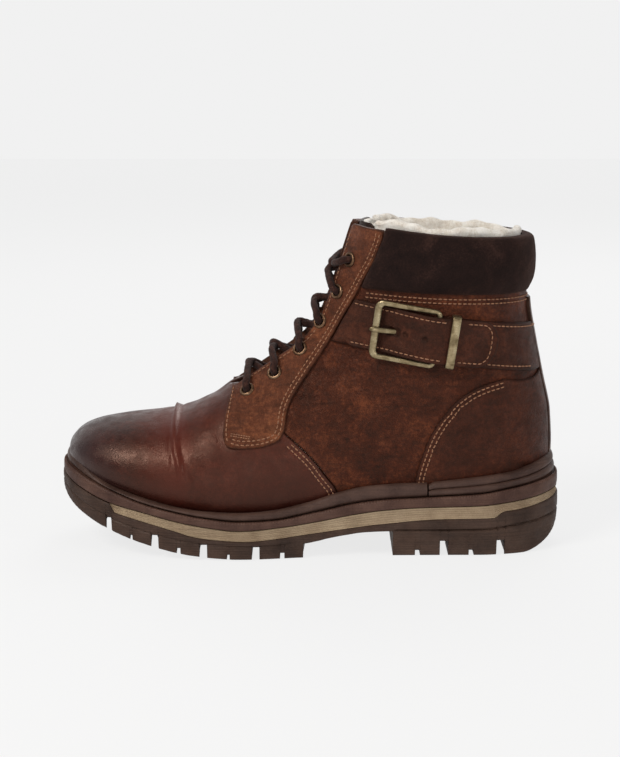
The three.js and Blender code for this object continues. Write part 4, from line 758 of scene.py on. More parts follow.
VAMP = leather("leather_vamp", (32, 12, 8), (53, 20, 13), (80, 34, 22), 0.34, 900, True, 0.1, 0.42, 0.12)
QUARTER = leather("leather_quarter", (34, 14, 9), (66, 29, 17), (106, 55, 33), 0.44, 820, crease=0.45)
HEEL = leather("leather_heel", (34, 14, 9), (60, 27, 17), (88, 44, 28), 0.44, 900, crease=0.28)
STAY = leather("leather_eyestay", (50, 24, 14), (90, 47, 29), (130, 76, 48), 0.46, 1000, crease=0.25)
STRAP_LEATHER = leather("leather_strap", (30, 12, 8), (54, 24, 15), (84, 43, 28), 0.42, 1050, crease=0.24)
BACK_LEATHER = leather("leather_backstay", (44, 26, 20), (72, 47, 38), (104, 74, 62), 0.4, 1000)
TONGUE_LEATHER = leather("leather_tongue", (24, 14, 12), (40, 24, 20), (64, 40, 33), 0.5, 900)
SUEDE = suede("suede_collar")
FLEECE_WOOL = fleece("fleece_lining")
SOLE_RUBBER = rubber("rubber_outsole", (46, 32, 25), (75, 56, 46))
WELT_RUBBER = rubber("rubber_welt", (60, 38, 31), (92, 66, 55), 0.4, 0.55)
RAND_RUBBER = rubber("rubber_rand", (50, 33, 27), (82, 60, 51), 0.15, 0.48)
BAND_FOAM = rubber("foam_midsole", (126, 106, 84), (164, 144, 118), 0.9, 0.75)
BRASS = antique("metal_antique_brass", (92, 78, 54), (142, 126, 96), (180, 166, 134), 0.3)
EYELET_METAL = antique("metal_eyelet", (56, 38, 28), (104, 78, 58), (150, 122, 96), 0.38)
ZIP_METAL = antique("metal_zip", (38, 34, 32), (70, 66, 62), (110, 104, 98), 0.36)
THREAD = thread("thread_tan", (108, 70, 47), (172, 122, 88))
ZIP_CLOTH = cloth("cloth_zip", (24, 18, 16), (46, 36, 32))
BOARD_FIBRE = cloth("board_fibre", (120, 100, 76), (168, 146, 116), 900)
SHANK_STEEL = antique("metal_shank", (90, 90, 92), (140, 140, 142), (180, 180, 182), 0.3)
LACE_CORD = lace_cloth("lace_cord")


# ------------------------------------------------------------------ sole unit
def outline(theta, side, inset=0.0):
    """Plan points of the sole's edge at angles from the toe, 0, to the heel, 180, pushed inward."""
    theta = np.asarray(theta, float)
    side = np.broadcast_to(np.asarray(side, float), theta.shape)

    def base(t):
        s = np.where((t < 0) | (t > 180), -side, side)
        t = np.where(t < 0, -t, np.where(t > 180, 360 - t, t))
        x = -BOOT_LENGTH / 2 * np.cos(np.radians(t))
        return np.stack([x, SWING(x) + s * HALF_WIDTH(t)], -1)

    p = base(theta)
    d = unit(base(theta + 0.3) - base(theta - 0.3))
    inward = np.stack([d[:, 1], -d[:, 0]], -1) * side[:, None]
    return p + inward * np.asarray(inset, float).reshape(-1, 1)


def theta_of(x):
    return math.degrees(math.acos(max(-1, min(1, -x / (BOOT_LENGTH / 2)))))


def even_thetas(step, first=0.0, last=180.0, extra=()):
    """Angles evenly spaced along the sole's edge, and extra ones at given x."""
    fine = np.linspace(first, last, 2400)
    p = outline(fine, np.full(len(fine), -1.0))
    run = run_along(p)
    thetas = list(np.interp(np.linspace(0, run[-1], max(3, int(run[-1] / step))), run, fine))
    thetas += [theta_of(x) for x in extra if first < theta_of(x) < last]
    out = []
    for t in sorted(thetas):
        if not out or t - out[-1] > 1e-5:
            out.append(t)
    return np.array(out)


def around(thetas):
    """Angles and sides of columns all the way round, from those of one side."""
    return (np.concatenate([thetas, thetas[-2:0:-1]]),
            np.concatenate([np.full(len(thetas), -1.0), np.full(len(thetas) - 2, 1.0)]))


def part_round(thetas):
    """As around, for a U-shaped piece: out on one side and back on the other, joined at the last angle."""
    return (np.concatenate([thetas, thetas[-2::-1]]),
            np.concatenate([np.full(len(thetas), -1.0), np.full(len(thetas) - 1, 1.0)]))


def ring_rows(theta, side, rows):
    """3-D points of (inset, z) rows, one list after another."""
    out = []
    for inset, z in rows:
        xy = outline(theta, side, np.broadcast_to(inset, theta.shape))
        out.append(np.column_stack([xy, np.broadcast_to(z, theta.shape)]))
    return np.concatenate(out)


def band(name, theta, side, corners, material, sharp):
    """A U-shaped ring round the sole, from the (inset, z) arrays of its section's corners."""
    n, m = len(theta), len(corners)
    faces = []
    for j in range(m):
        a, b = j * n, (j + 1) % m * n
        faces += [(a + i, a + i + 1, b + i + 1, b + i) for i in range(n - 1)]
    faces.append(tuple(j * n for j in range(m)))
    faces.append(tuple(j * n + n - 1 for j in reversed(range(m))))
    obj = make_object(name, ring_rows(theta, side, corners), faces, material)
    obj.data.set_sharp_from_angle(angle=math.radians(sharp))
    return obj


def plate(name, thetas, rows, material, bottom=None, columns=(), sharp=40, crown=None):
    """A full slab: rows list (inset, z) arrays per row from foot to top, for the columns of around(thetas).
    bottom(x, y) gives the underside's height at fixed columns of y."""
    theta, side = around(thetas)
    n, m, count = len(theta), len(rows), len(thetas)
    verts = list(ring_rows(theta, side, rows))
    faces = [(j * n + i, j * n + (i + 1) % n, (j + 1) * n + (i + 1) % n, (j + 1) * n + i)
             for j in range(m - 1) for i in range(n)]

    def cap(row, ys, height):
        lines = []
        for i in range(count):
            a, b = row * n + i, row * n + (n - i) % n
            if i == 0 or i == count - 1:
                lines.append([a])
                continue
            pa, pb = np.array(verts[a]), np.array(verts[b])
            line = [a]
            for y in ys:
                yy = min(max(y, pa[1] + 0.01), pb[1] - 0.01)
                t = (yy - pa[1]) / (pb[1] - pa[1])
                x = pa[0] + (pb[0] - pa[0]) * t
                z = pa[2] + (pb[2] - pa[2]) * t if height is None else height(x, y, yy, pa[2])
                verts.append(np.array([x, yy, z]))
                line.append(len(verts) - 1)
            line.append(b)
            lines.append(line)
        for i in range(count - 1):
            p, q = lines[i], lines[i + 1]
            if len(p) == 1 or len(q) == 1:
                lone, line = (p[0], q) if len(p) == 1 else (q[0], p)
                faces.extend((lone, line[j], line[j + 1]) for j in range(len(line) - 1))
            else:
                faces.extend((p[j], p[j + 1], q[j + 1], q[j]) for j in range(len(p) - 1))

    cap(0, list(columns), bottom)
    cap(m - 1, [-20, 0, 20], crown)
    obj = make_object(name, verts, faces, material)
    obj.data.set_sharp_from_angle(angle=math.radians(sharp))
    return obj


GROOVES = [(-122, 3.6, 12), (-108, 1.6, 3), (-93.5, 4.6, 12), (-79, 2.4, 3.5), (-64, 4.6, 12), (-49, 1.6, 3),
           (-32.5, 4.6, 12), (-16.5, 2.6, 3.5), (65, 3, 3.2), (81, 5, 9), (97.5, 3, 3.2), (115.5, 5, 9)]
EPS = 0.03
breaks = [-4 - EPS, -4 + EPS, 50 - EPS, 50 + EPS, -121.5, -118.5]
for c, w, d in GROOVES:
    breaks += [c - w / 2 - EPS, c - w / 2 + EPS, c + w / 2 - EPS, c + w / 2 + EPS]


def tread(x):
    """Height of the tread's edge at x, grooves and waist included."""
    x = np.asarray(x, float)
    z = GROUND_LINE(x).copy()
    for c, w, d in GROOVES:
        depth = min(float(GROUND_LINE(c)) + d, float(WEB_LINE(c)))
        z = np.where(np.abs(x - c) <= w / 2, np.maximum(z, depth), z)
    waist = (x > -4) & (x < 50)
    return np.where(waist, WEB_LINE(x), z)


def under(x, y, yy, edge_z):
    z = float(tread(x))
    ahead, behind = -121 < x < -4, 50 < x < 113
    if (ahead and 15 <= abs(y) <= 19) or (behind and 12 <= abs(y) <= 16):
        z = max(z, 6.3)
    return z


def foxing(x):
    """Top edge of the outsole: full height at the toe bumper, and the midsole's foot behind it."""
    x = np.asarray(x, float)
    t = np.clip((x + 121.5) / 3.0, 0, 1)
    return MIDSOLE_TOP(x) * (1 - t) + MIDSOLE_FOOT(x) * t


def make_outsole():
    thetas = even_thetas(1.7, extra=breaks)
    theta, side = around(thetas)
    x = outline(theta, side)[:, 0]
    low, high = tread(x), foxing(x)
    rows = []
    count = 40
    for j in range(count + 1):
        v = j / count
        z = low + (high - low) * v
        fine = 0.11 * np.sin(2 * np.pi * z / 1.55) * (z < WEB_LINE(x) + 8)
        inset = 0.2 + fine
        # tread blocks lean in a little towards the ground, and their lower edge is broken
        lean_in = np.clip((WEB_LINE(x) - z) / 14, 0, 1) * 1.1
        lip = 0.55 * np.clip(1 - (z - low) / 0.7, 0, 1)
        roll = 0.7 * np.clip(1 - (high - z) / 0.8, 0, 1) ** 2
        line = np.exp(-((z - WEB_LINE(x) - 0.4) / 0.75) ** 2) * 1.5 * ((x > 51) | (x < -10))
        line = np.where(x < -10, line * 0.45, line)
        rows.append((inset + lean_in + lip + roll + line, z))
    inner = []
    for c in (15, 19, 12, 16):
        inner += [c - EPS, c + EPS, -c - EPS, -c + EPS]
    inner += [-36, 36, -27, 27, -5, 5]
    return plate("visual_outsole", thetas, rows, SOLE_RUBBER, under, sorted(inner), 32)


def make_midsole():
    thetas = even_thetas(1.8, theta_of(-121.2), 180.0, extra=(-118.5, 111, 117))
    theta, side = part_round(thetas)
    p0 = outline(theta, side)
    x, run = p0[:, 0], run_along(p0)
    low = np.minimum(foxing(x) + 0.25, MIDSOLE_TOP(x) - 0.1)
    high = MIDSOLE_TOP(x)
    corners = []
    for v in np.arange(27) / 26:
        rib = 0.16 * np.sin(2 * np.pi * (v * 5.5 + 0.15 * np.sin(run / 37)))
        cove = 0.5 * (1 - (2 * v - 1) ** 2)
        corners.append((0.95 + rib + cove, low + (high - low) * v))
    corners += [(17.0, high), (17.0, low)]
    return band("visual_midsole", theta, side, corners, BAND_FOAM, 50)


# share of the height, inset, depth of the wheeled notches, drop
WELT_ROWS = [
    (0, 0.8, 0, 0), (0.05, 0.3, 0, 0), (0.14, 0.08, 0, 0), (0.3, 0, 0, 0), (0.5, 0.02, 0, 0),
    (0.7, 0.05, 0.05, 0), (0.8, 0.1, 0.2, 0), (0.9, 0.25, 0.38, 0), (0.97, 0.65, 0.5, 0.05),
    (1, 1.15, 0.45, 0.12), (1, 1.7, 0.2, 0.55), (1, 2.2, 0, 0.95), (1, 3.4, 0, 0.6), (1, 6, 0, 0.1)]


def make_welt():
    thetas = even_thetas(0.42)
    theta, side = around(thetas)
    p0 = outline(theta, side)
    run = run_along(p0)
    x = p0[:, 0]
    low, high = MIDSOLE_TOP(x) + GAP, WELT_TOP(x)
    wheel = 0.5 + 0.5 * np.cos(2 * np.pi * run / 1.75)
    rows = []
    for v, inset, notch, drop in WELT_ROWS:
        z = low + (high - low) * v - drop - notch * wheel * 0.35
        rows.append((0.55 + inset + notch * wheel * 0.9, z))
    return plate("visual_welt", thetas, rows, WELT_RUBBER, None, (-20, 0, 20), 60)


def make_rand(name, first, last, beads):
    """The moulded strip on the welt: rounded beads between two heights, then back to the inner edge."""
    if first is None:
        thetas = even_thetas(1.3, 0, theta_of(last))
        theta = np.concatenate([thetas[::-1], thetas[1:]])
        side = np.concatenate([np.full(len(thetas), -1.0), np.full(len(thetas) - 1, 1.0)])
    else:
        theta, side = part_round(even_thetas(1.3, theta_of(first), 180))
    x = outline(theta, side)[:, 0]
    low, high = WELT_TOP(x) + 0.05, RAND_TOP(x)
    if first is not None:
        high = high - 1.3 * np.exp(-((x - first) / 2.2) ** 2)
    corners = []
    for b in range(beads):
        for t in np.arange(9) / 8:
            w = (b + t) / beads
            swell = math.sqrt(max(0.0, 1 - (2 * t - 1) ** 2))
            tuck = 2.9 * w * w * (0.6 if beads == 1 else 0.75)
            corners.append((2.5 + 1.5 * (1 - swell) + tuck * 0.9, low + (high - low) * w))
    corners += [(9.2, high - 0.6), (9.2, low)]
    return band(name, theta, side, corners, RAND_RUBBER, 60)


finish_piece(make_outsole(), "outsole_rubber", "outsole")
finish_piece(make_midsole(), "midsole_foam", "midsole")
finish_piece(make_welt(), "welt", "welt")
finish_piece(make_rand("visual_rand_front", None, 70.6, 1), "rand_rubber", "rand_front")
finish_piece(make_rand("visual_rand_heel", 71.6, None, 2), "rand_rubber", "rand_heel")


# ------------------------------------------------------------------ pattern lines of the upper
SEAM_VAMP = [(22, 20), (16, 40), (9, 49), (2, 58.7), (-8, 68.3), (-16, 75), (-30, 92), (-60, 128)]
EYESTAY_REAR = [
    (-18, 70.7), (-15, 76.9), (-14, 85.8), (-12, 91.7), (-8, 98.6), (-3, 105.9), (5, 117),
    (13, 129), (19, 140.2), (27, 154.3), (33, 166.2), (39, 177.2), (43.6, 190), (44, 197)]
EYESTAY_FRONT = [
    (-46.6, 99), (-47.6, 95), (-50, 87), (-52, 77), (-52, 71), (-50, 66), (-43, 65.2), (-31, 65.9),
    (-23, 68), (-18, 70.7)]
HEEL_LINE = [
    (62, 30), (63.5, 46), (65.5, 54.7), (69, 65.2), (73, 74.5), (79.4, 84.6), (85.6, 92.6),
    (94, 99.6), (104, 104.2), (116, 107)]
COLLAR_TOP = smooth([(-20, 199.6), (43, 197.4), (60, 195.6), (85, 193.3), (112, 191.8), (200, 188)])
COLLAR_FOOT = smooth([(0, 161.6), (26, 160.6), (75, 158.4), (200, 154.5)])
ZIP_TOP, ZIP_FOOT = np.array((77.0, 190.0)), np.array((58.0, 74.0))
ZIP_LINE = unit(ZIP_FOOT - ZIP_TOP)
ZIP_WAY = np.array([-ZIP_LINE[1], ZIP_LINE[0]])
ZIP_HALF = 6.25


def locate_many(xs, zs, side):
    """Vectorised locate for points of the side view."""
    xs, zs = np.asarray(xs, float), np.asarray(zs, float)
    g = _grid[side]
    k = np.empty(xs.shape)
    a = np.empty(xs.shape)
    for i, (x, z) in enumerate(zip(xs, zs)):
        j = np.argmin((g[..., 0] - x) ** 2 + (g[..., 2] - z) ** 2)
        k[i], a[i] = _gk.flat[j], _ga.flat[j]
    step = 0.01
    for _ in range(14):
        p = surface(k, side * a)
        pk = surface(k + step, side * a) - p
        pa = surface(k, side * (a + step)) - p
        det = pk[:, 0] * pa[:, 2] - pk[:, 2] * pa[:, 0]
        det = np.where(np.abs(det) < 1e-9, 1e9, det)
        ex, ez = (xs - p[:, 0]) * step, (zs - p[:, 2]) * step
        k = np.clip(k + np.clip((ex * pa[:, 2] - ez * pa[:, 0]) / det, -0.6, 0.6), 0.1, LAST - step)
        a = np.clip(a + np.clip((ez * pk[:, 0] - ex * pk[:, 2]) / det, -0.1, 0.1), 0.005, 1.0)
    return np.stack([k, side * a], -1)


def traced(points, side, step=1.5, soft=0):
    """A side-view line as (station, across) points on one side."""
    pts = rounded(points, soft) if soft else points
    pts = np.array(resample([tuple(p) for p in pts], step))
    return [tuple(p) for p in locate_many(pts[:, 0], pts[:, 1], side)]


def from_sole(points, side, step=1.5, soft=1):
    """As traced, for a line that starts on the sole: the part above the welt, ended on the outer edge."""
    pts = np.array(resample([tuple(p) for p in rounded(points, soft)], step))
    keep = pts[:, 1] > WELT_TOP(pts[:, 0]) + 0.8
    pts = pts[keep]
    line = [tuple(p) for p in locate_many(pts[:, 0], pts[:, 1], side)]
    return [(line[0][0], float(side))] + line


def edge_line(k0, k1, a, step=1.5):
    """Points along a line of constant across, evenly spaced."""
    return spaced([(k, a) for k in np.linspace(k0, k1, 200)], step)


def clean(loop):
    """A closed loop without repeated points."""
    out = []
    for p in loop:
        if not out or np.linalg.norm(surface(p[0], p[1]) - surface(out[-1][0], out[-1][1])) > 0.25:
            out.append(p)
    while np.linalg.norm(surface(out[0][0], out[0][1]) - surface(out[-1][0], out[-1][1])) < 0.25:
        out.pop()
    return out


def across_at_y(k, y, side):
    """Where the surface is |y| off the middle plane at a station, on the ridge's side."""
    a = np.linspace(0, 0.6, 400)
    ys = surface(np.full(400, k), side * a)[:, 1]
    hit = np.argmax(side * ys >= y)
    return side * a[hit] if side * ys[hit] >= y else side * 0.6


def throat_half(z):
    return float(np.interp(z, [99, 121, 165, 240], [13.5, 13.5, 10.5, 10.5]))


def throat_line(side, z0=99.0, z1=198.3, grow=0.0, step=1.5):
    """The edge over the tongue, from its foot up to the top."""
    out = []
    for k in np.arange(7.0, LAST, 0.05):
        a = 0.1 * side
        for _ in range(3):
            z = float(surface(k, a)[2])
            a = across_at_y(k, throat_half(z) + grow, side)
        z = float(surface(k, a)[2])
        if z0 <= z <= z1:
            out.append((k, a))
    return spaced(out, step)


def shifted(ka, d):
    """A line on the surface moved sideways by d mm, to the left of its run as seen from outside."""
    ka = np.array(ka, float)
    tangent = unit(np.gradient(on_surface(ka), axis=0))
    return ka + d * slid(ka, np.cross(normal(ka[:, 0], ka[:, 1]), tangent))


def upright(out):
    """The two directions square to an outward one: up, and along the surface."""
    up = unit(np.array([0, 0, 1.0]) - out * out[2])
    return up, np.cross(out, up)


def hole_at(k, a, radius, count=14):
    """A round hole on the surface as (station, across) points."""
    up, along = upright(normal(k, a))
    pk, pa = slopes(k, a)
    inv = np.linalg.inv(np.array([[pk @ up, pa @ up], [pk @ along, pa @ along]]))
    out = []
    for i in range(count):
        w = 2 * math.pi * i / count
        d = inv @ np.array([radius * math.cos(w), radius * math.sin(w)])
        out.append((k + d[0], a + d[1]))
    return out


EYELETS = [(-37.5, 97), (-21, 107.4), (-5.5, 121.5), (7, 138.1), (17.5, 156.8), (25, 176.5)]
SEATS = {}
for _side in (-1, 1):
    for _row, (_x, _z) in enumerate(EYELETS):
        SEATS[_side, _row] = locate(_x, _z, _side)

FOLD_X = smooth([(30, -76), (48, -79), (58.2, -81.4), (67.4, -83.6), (78, -84.5), (95, -84.5)])


def hide(p, dist, k, a, seed, small=0.09, large=0.28):
    """Gentle unevenness of lasted leather, dying out at the sewn edges."""
    return ease(dist, 3, 14) * (large * noise(p / 17.0, seed) + small * noise(p / 4.3, seed + 5))


def vamp_relief(p, dist, k, a):
    z = hide(p, dist, k, a, 1.0)
    across = p[:, 0] - FOLD_X(np.abs(p[:, 2]))
    fade = ease(p[:, 2], 40, 56)
    ridge = 1.9 * np.exp(-((across - 2.4) / 1.5) ** 2) - 0.8 * np.exp(-((across + 0.3) / 0.9) ** 2)
    ridge -= 0.5 * np.exp(-((across - 5.6) / 1.4) ** 2)
    z = z + fade * ridge * (1 + 0.15 * noise(p / 9.0, 4.0))
    # creases where the toes bend
    flex = np.exp(-((p[:, 0] + 55) / 17) ** 2) * ease(p[:, 2], 50, 70)
    lines = np.sin((p[:, 0] + 0.35 * p[:, 2]) / 3.4 + 1.6 * noise(p / 21.0, 9.0))
    z = z + flex * 0.22 * lines
    return z + groove(dist, 2.2, 0.3) + groove(dist, 4.8, 0.3)


def quarter_relief(p, dist, k, a):
    z = hide(p, dist, k, a, 12.0, 0.1, 0.34)
    # soft drapes down the flank, as on the worn-in waist
    drape = np.exp(-((p[:, 0] - 30) / 30) ** 2) * ease(p[:, 2], 50, 80) * (1 - ease(p[:, 2], 130, 150))
    z = z + 0.3 * drape * np.sin((p[:, 2] * 0.8 - p[:, 0] * 0.5) / 5.2 + 1.9 * noise(p / 24.0, 3.0))
    low = np.exp(-((p[:, 2] - 62) / 14) ** 2) * np.exp(-((p[:, 0] - 36) / 22) ** 2)
    return z + 0.35 * low * np.sin(p[:, 0] / 3.1 + p[:, 2] / 6.0)


# ------------------------------------------------------------------ vamp and quarters
def vamp_loop():
    left, right = ([p for p in from_sole(SEAM_VAMP, side) if surface(*p)[2] < 98.5 or abs(p[1]) > 0.12]
                   for side in (-1, 1))
    bridge = between(left[-1], right[-1], np.linspace(0, 1, 18)[1:-1])
    foot = edge_line(0.04, left[0][0], -1.0)
    foot_right = edge_line(0.04, right[0][0], 1.0)
    nose = [(0.04, a) for a in np.linspace(1, -1, 9)[1:-1]]
    return clean(foot + left[1:] + bridge + right[::-1][:-1] + foot_right[::-1] + nose)


vamp = panel("visual_vamp", vamp_loop(), [], 0.35, -2.3, VAMP, 1.7, 0.8, vamp_relief)
finish_piece(vamp, "upper_leather", "vamp", "insulation_vamp")


def quarter_loop(side):
    front = from_sole([(p[0] + 0.3, p[1]) for p in SEAM_VAMP[:6]], side)
    inner_edge = traced([(-16, 75), (-25, 84), (-30, 92), (-26, 99), (-14, 108), (0, 120), (12, 136), (22, 154),
                         (27, 163.5)], side, soft=1)[1:]
    back_x = np.linspace(27, 133, 60)
    top = traced([(x, float(COLLAR_FOOT(x)) + 4) for x in back_x if x < 124], side)[1:]
    k_top = top[-1][0]
    top += [(k_top + 0.05 * t, top[-1][1] + (side * 0.999 - top[-1][1]) * t) for t in (0.25, 0.5, 0.75, 1.0)]
    back = edge_line(k_top + 0.05, HEEL_CORNER + 0.02, side * 0.999)[1:]
    foot = edge_line(HEEL_CORNER - 0.02, front[0][0], side * 1.0)[:-1]
    return clean(front + inner_edge + top + back + foot)


def make_quarter(word, loop):
    obj = panel("visual_quarter_" + word, loop, [], -0.25, -2.2, QUARTER, 2.3, 0.6, quarter_relief)
    finish_piece(obj, "upper_leather", "quarter_" + word, "insulation_" + word)


make_quarter("lateral", quarter_loop(-1))


def medial_loop():
    """The inner quarter, one sheet with the zip's opening as a notch from its top."""
    loop = quarter_loop(1)
    start, foot = ZIP_TOP + ZIP_LINE * 27.5, ZIP_FOOT + ZIP_LINE * 3
    front, rear = ([start + (foot - start) * t + ZIP_WAY * half for t in np.linspace(0, 1, 30)]
                   for half in (-ZIP_HALF, ZIP_HALF))
    turn = [foot + ZIP_WAY * ZIP_HALF * t + ZIP_LINE * 1.2 * (1 - t * t) for t in (-0.6, 0, 0.6)]
    cut = np.array(front + turn + rear[::-1])
    cut_ka = [tuple(p) for p in locate_many(cut[:, 0], cut[:, 1], 1)]
    xs = {i: p[0] for i, p in enumerate(on_surface(loop)) if p[2] > float(COLLAR_FOOT(p[0])) + 3.4}
    first = max(i for i in xs if 0 < xs[i] <= cut[0, 0] - 0.5)
    second = min(i for i in xs if xs[i] >= cut[-1, 0] + 0.5 and i > first)
    return clean(loop[:first + 1] + cut_ka + loop[second:])


make_quarter("medial", medial_loop())


# ------------------------------------------------------------------ overlays
def eyestay_loop(side):
    throat = throat_line(side, 98.2, 196.6)
    front = traced(EYESTAY_FRONT, side, 1.3, 2)
    rear = traced(EYESTAY_REAR[:-1] + [(44, 194.5)], side, 1.5, 1)
    top = []
    shares = np.linspace(0, 1, 14)[1:-1]
    for t, (k, a) in zip(shares, between(rear[-1], throat[-1], shares)):
        for _ in range(3):
            p = surface(k, a)
            k += (float(COLLAR_TOP(p[0])) - 1.3 * (1 - t) - 0.4 - p[2]) / 7.0
        top.append((k, a))
    return clean(front + rear[1:] + top + throat[::-1])


for side, word in ((-1, "lateral"), (1, "medial")):
    holes = [hole_at(*SEATS[side, row], 3.3) for row in range(6)]
    stay = panel("visual_eyestay_" + word, eyestay_loop(side), holes, 1.75, -3.0, STAY, 2.0, 0.75,
                 lambda p, dist, k, a: hide(p, dist, k, a, 21.0, 0.07, 0.16))
    finish_piece(stay, "eyestay_leather", "eyestay_" + word)

BACK_HALF = 9.9


def beside_backstay(k, side):
    """Across at a station, where one side comes to the backstay."""
    a = np.linspace(0.75, 1.0, 300)
    y = np.abs(surface(np.full(300, k), side * a)[:, 1])
    return side * float(a[np.argmin(np.abs(y - BACK_HALF))])


HEEL_PANELS = {}
for side, word in ((-1, "lateral"), (1, "medial")):
    front = from_sole(HEEL_LINE, side)
    k_end = float(np.interp(108, [62, 82, 102, 126], [16, 17, 18, 19]))
    back = [(k, beside_backstay(k, side)) for k in np.linspace(k_end, HEEL_CORNER + 0.12, 50)]
    top = between(front[-1], back[0], np.linspace(0, 1, 16)[1:-1])
    foot = [(HEEL_CORNER + 0.02, back[-1][1])]
    foot += edge_line(HEEL_CORNER - 0.02, front[0][0], side * 1.0)[:-1]
    HEEL_PANELS[side] = front
    loop = clean(front + top + back + foot)
    heel = panel("visual_heel_panel_" + word, loop, [], 1.25, -0.5, HEEL, 2.3, 0.75,
                 lambda p, dist, k, a: hide(p, dist, k, a, 41.0, 0.08, 0.24))
    finish_piece(heel, "upper_leather", "heel_panel_" + word)


def back_loop(half, k0, k1, count=60):
    """A strip down the centre back; across runs past -1 there."""
    ks = np.linspace(k0, k1, count)

    def at(k, s):
        d = np.linspace(0, 0.3, 300)
        y = surface(np.full(300, k), -1 + s * d)[:, 1]
        return -1 + s * float(d[np.argmin(np.abs(np.abs(y) - half))])

    left = [(k, at(k, 1)) for k in ks]
    right = [(k, at(k, -1)) for k in ks]
    shares = np.linspace(0, 1, 12)[1:-1]
    top, low = between(left[-1], right[-1], shares), between(right[0], left[0], shares)
    return clean(left + top + right[::-1] + low)


backstay = panel("visual_backstay", back_loop(9.5, 15.15, 20.1), [], 1.75, -0.4, BACK_LEATHER, 2.0, 0.7,
                 lambda p, dist, k, a: hide(p, dist, k, a, 31.0, 0.08, 0.2))
finish_piece(backstay, "backstay_leather", "backstay")


# ------------------------------------------------------------------ collar
BULGE = smooth([
    (100, 1.4), (155, 1.4), (158, 1.8), (163, 4.2), (170, 5.8), (177, 6.4), (186, 5.6), (192, 4.2),
    (200, 2.8)])


def k_at_height(a, z):
    """Station where the surface reaches a height, at one across."""
    ks = np.linspace(14.5, LAST, 600)
    zs = surface(ks, np.full(600, a))[:, 2]
    return float(np.interp(z, zs, ks))


def height_line(a0, a1, line, dz=0.0, step=1.6):
    """Points at a side-view line's height, from one across to another (past -1 at the back)."""
    a = np.linspace(a0, a1, 260)
    out = []
    for v in a:
        k = 19.0
        for _ in range(3):
            x = float(surface(k, v)[0])
            k = k_at_height(v, float(line(x)) + dz)
        out.append((k, v))
    return spaced(out, step)


def collar_relief(p, dist, k, a):
    z = BULGE(p[:, 2]) + 0.55 * noise(p / 13.0, 51.0) + 0.22 * noise(p / 5.0, 52.0)
    # tucks where the padding is drawn into the lower seam and the rim
    tuck = np.exp(-((dist - 3.0) / 3.2) ** 2)
    return z - 0.5 * tuck * (0.5 + 0.5 * np.sin((p[:, 0] + p[:, 1]) / 4.1 + 2.0 * noise(p / 16.0, 53.0)))


def zip_side_line(across, z_low, z_high):
    """A line beside the zip on the inner side, upwards, between two heights."""
    out = []
    for z in np.linspace(z_low, z_high, 26):
        t = (z - ZIP_TOP[1] - ZIP_WAY[1] * across) / ZIP_LINE[1]
        out.append((ZIP_TOP[0] + ZIP_LINE[0] * t + ZIP_WAY[0] * across, z))
    return [tuple(p) for p in locate_many([o[0] for o in out], [o[1] for o in out], 1)]


x_rear = float((ZIP_TOP + ZIP_WAY * ZIP_HALF)[0])
zip_rear = zip_side_line(ZIP_HALF, float(COLLAR_FOOT(x_rear)) + 0.4, float(COLLAR_TOP(x_rear)) - 0.3)
zip_front = zip_side_line(-ZIP_HALF, float(COLLAR_FOOT(66)) + 0.4, float(COLLAR_TOP(70)) - 0.3)


def make_collar(name, side, zip_side, wrap, *nodes):
    """The collar from one side's eyestay to the zip. wrap takes the zip's across past -1, round the back."""
    line = traced([(x + 0.9, z) for x, z in EYESTAY_REAR[9:]], side, 1.5, 1)
    front = [p for p in line if 160.9 < surface(*p)[2] < 195.6]
    foot = height_line(front[0][1], zip_side[0][1] - wrap, COLLAR_FOOT, 0.3)
    top = height_line(front[-1][1], zip_side[-1][1] - wrap, COLLAR_TOP, 0.0)
    loop = clean(foot + [(k, a - wrap) for k, a in zip_side] + top[::-1] + front[::-1])
    rows = (0.0, 0.12, 0.4, 0.8, 1.4, 2.1, 2.9)
    collar = panel(name, loop, [], 0.0, -2.2, SUEDE, 2.2, 2.6, collar_relief, rows)
    finish_piece(collar, "collar_suede", *nodes, fill=0.75)


make_collar("visual_collar", -1, zip_rear, 2.0, "collar_cuff", "collar_foam")
make_collar("visual_collar_medial", 1, zip_front, 0.0, "collar_cuff_medial_front", "collar_foam_medial_front")


# ------------------------------------------------------------------ fleece lining
def pile(p, seed=60.0):
    """Curled pile: soft clumps with small curls on them."""
    return 0.55 * noise(p / 4.6, seed) + 0.35 * noise(p / 1.9, seed + 3) + 0.3 * noise(p / 11.0, seed + 7)


def two_sided(name, k, a, inner, outer, material):
    """A sheet from a grid of (station, across): inner and outer offsets, joined round its border."""
    rows, cols = k.shape
    po, pi = skin(k, a, outer), skin(k, a, inner)
    verts = np.concatenate([po.reshape(-1, 3), pi.reshape(-1, 3)])
    n = rows * cols
    faces = []
    for i in range(rows - 1):
        for j in range(cols - 1):
            q = i * cols + j
            faces.append((q, q + 1, q + cols + 1, q + cols))
            faces.append((n + q, n + q + cols, n + q + cols + 1, n + q + 1))
    ring = ([(0, j) for j in range(cols)] + [(i, cols - 1) for i in range(1, rows)]
            + [(rows - 1, j) for j in range(cols - 2, -1, -1)] + [(i, 0) for i in range(rows - 2, 0, -1)])
    ids = [i * cols + j for i, j in ring]
    for u, v in zip(ids, ids[1:] + ids[:1]):
        faces.append((u, v, n + v, n + u))
    return make_object(name, verts, faces, material)


def lining_grid(side_from, side_to, count_a, k_low, top_dz, rows=90):
    a = np.linspace(side_from, side_to, count_a)
    k = np.zeros((rows, count_a))
    for j, v in enumerate(a):
        kt = 22.0
        for _ in range(4):
            x = float(surface(kt, v)[0])
            kt = k_at_height(v, float(COLLAR_TOP(x)) + top_dz(x, v))
        k[:, j] = np.linspace(k_low, min(kt, LAST - 0.05), rows)
    return k, np.broadcast_to(a, k.shape).copy()


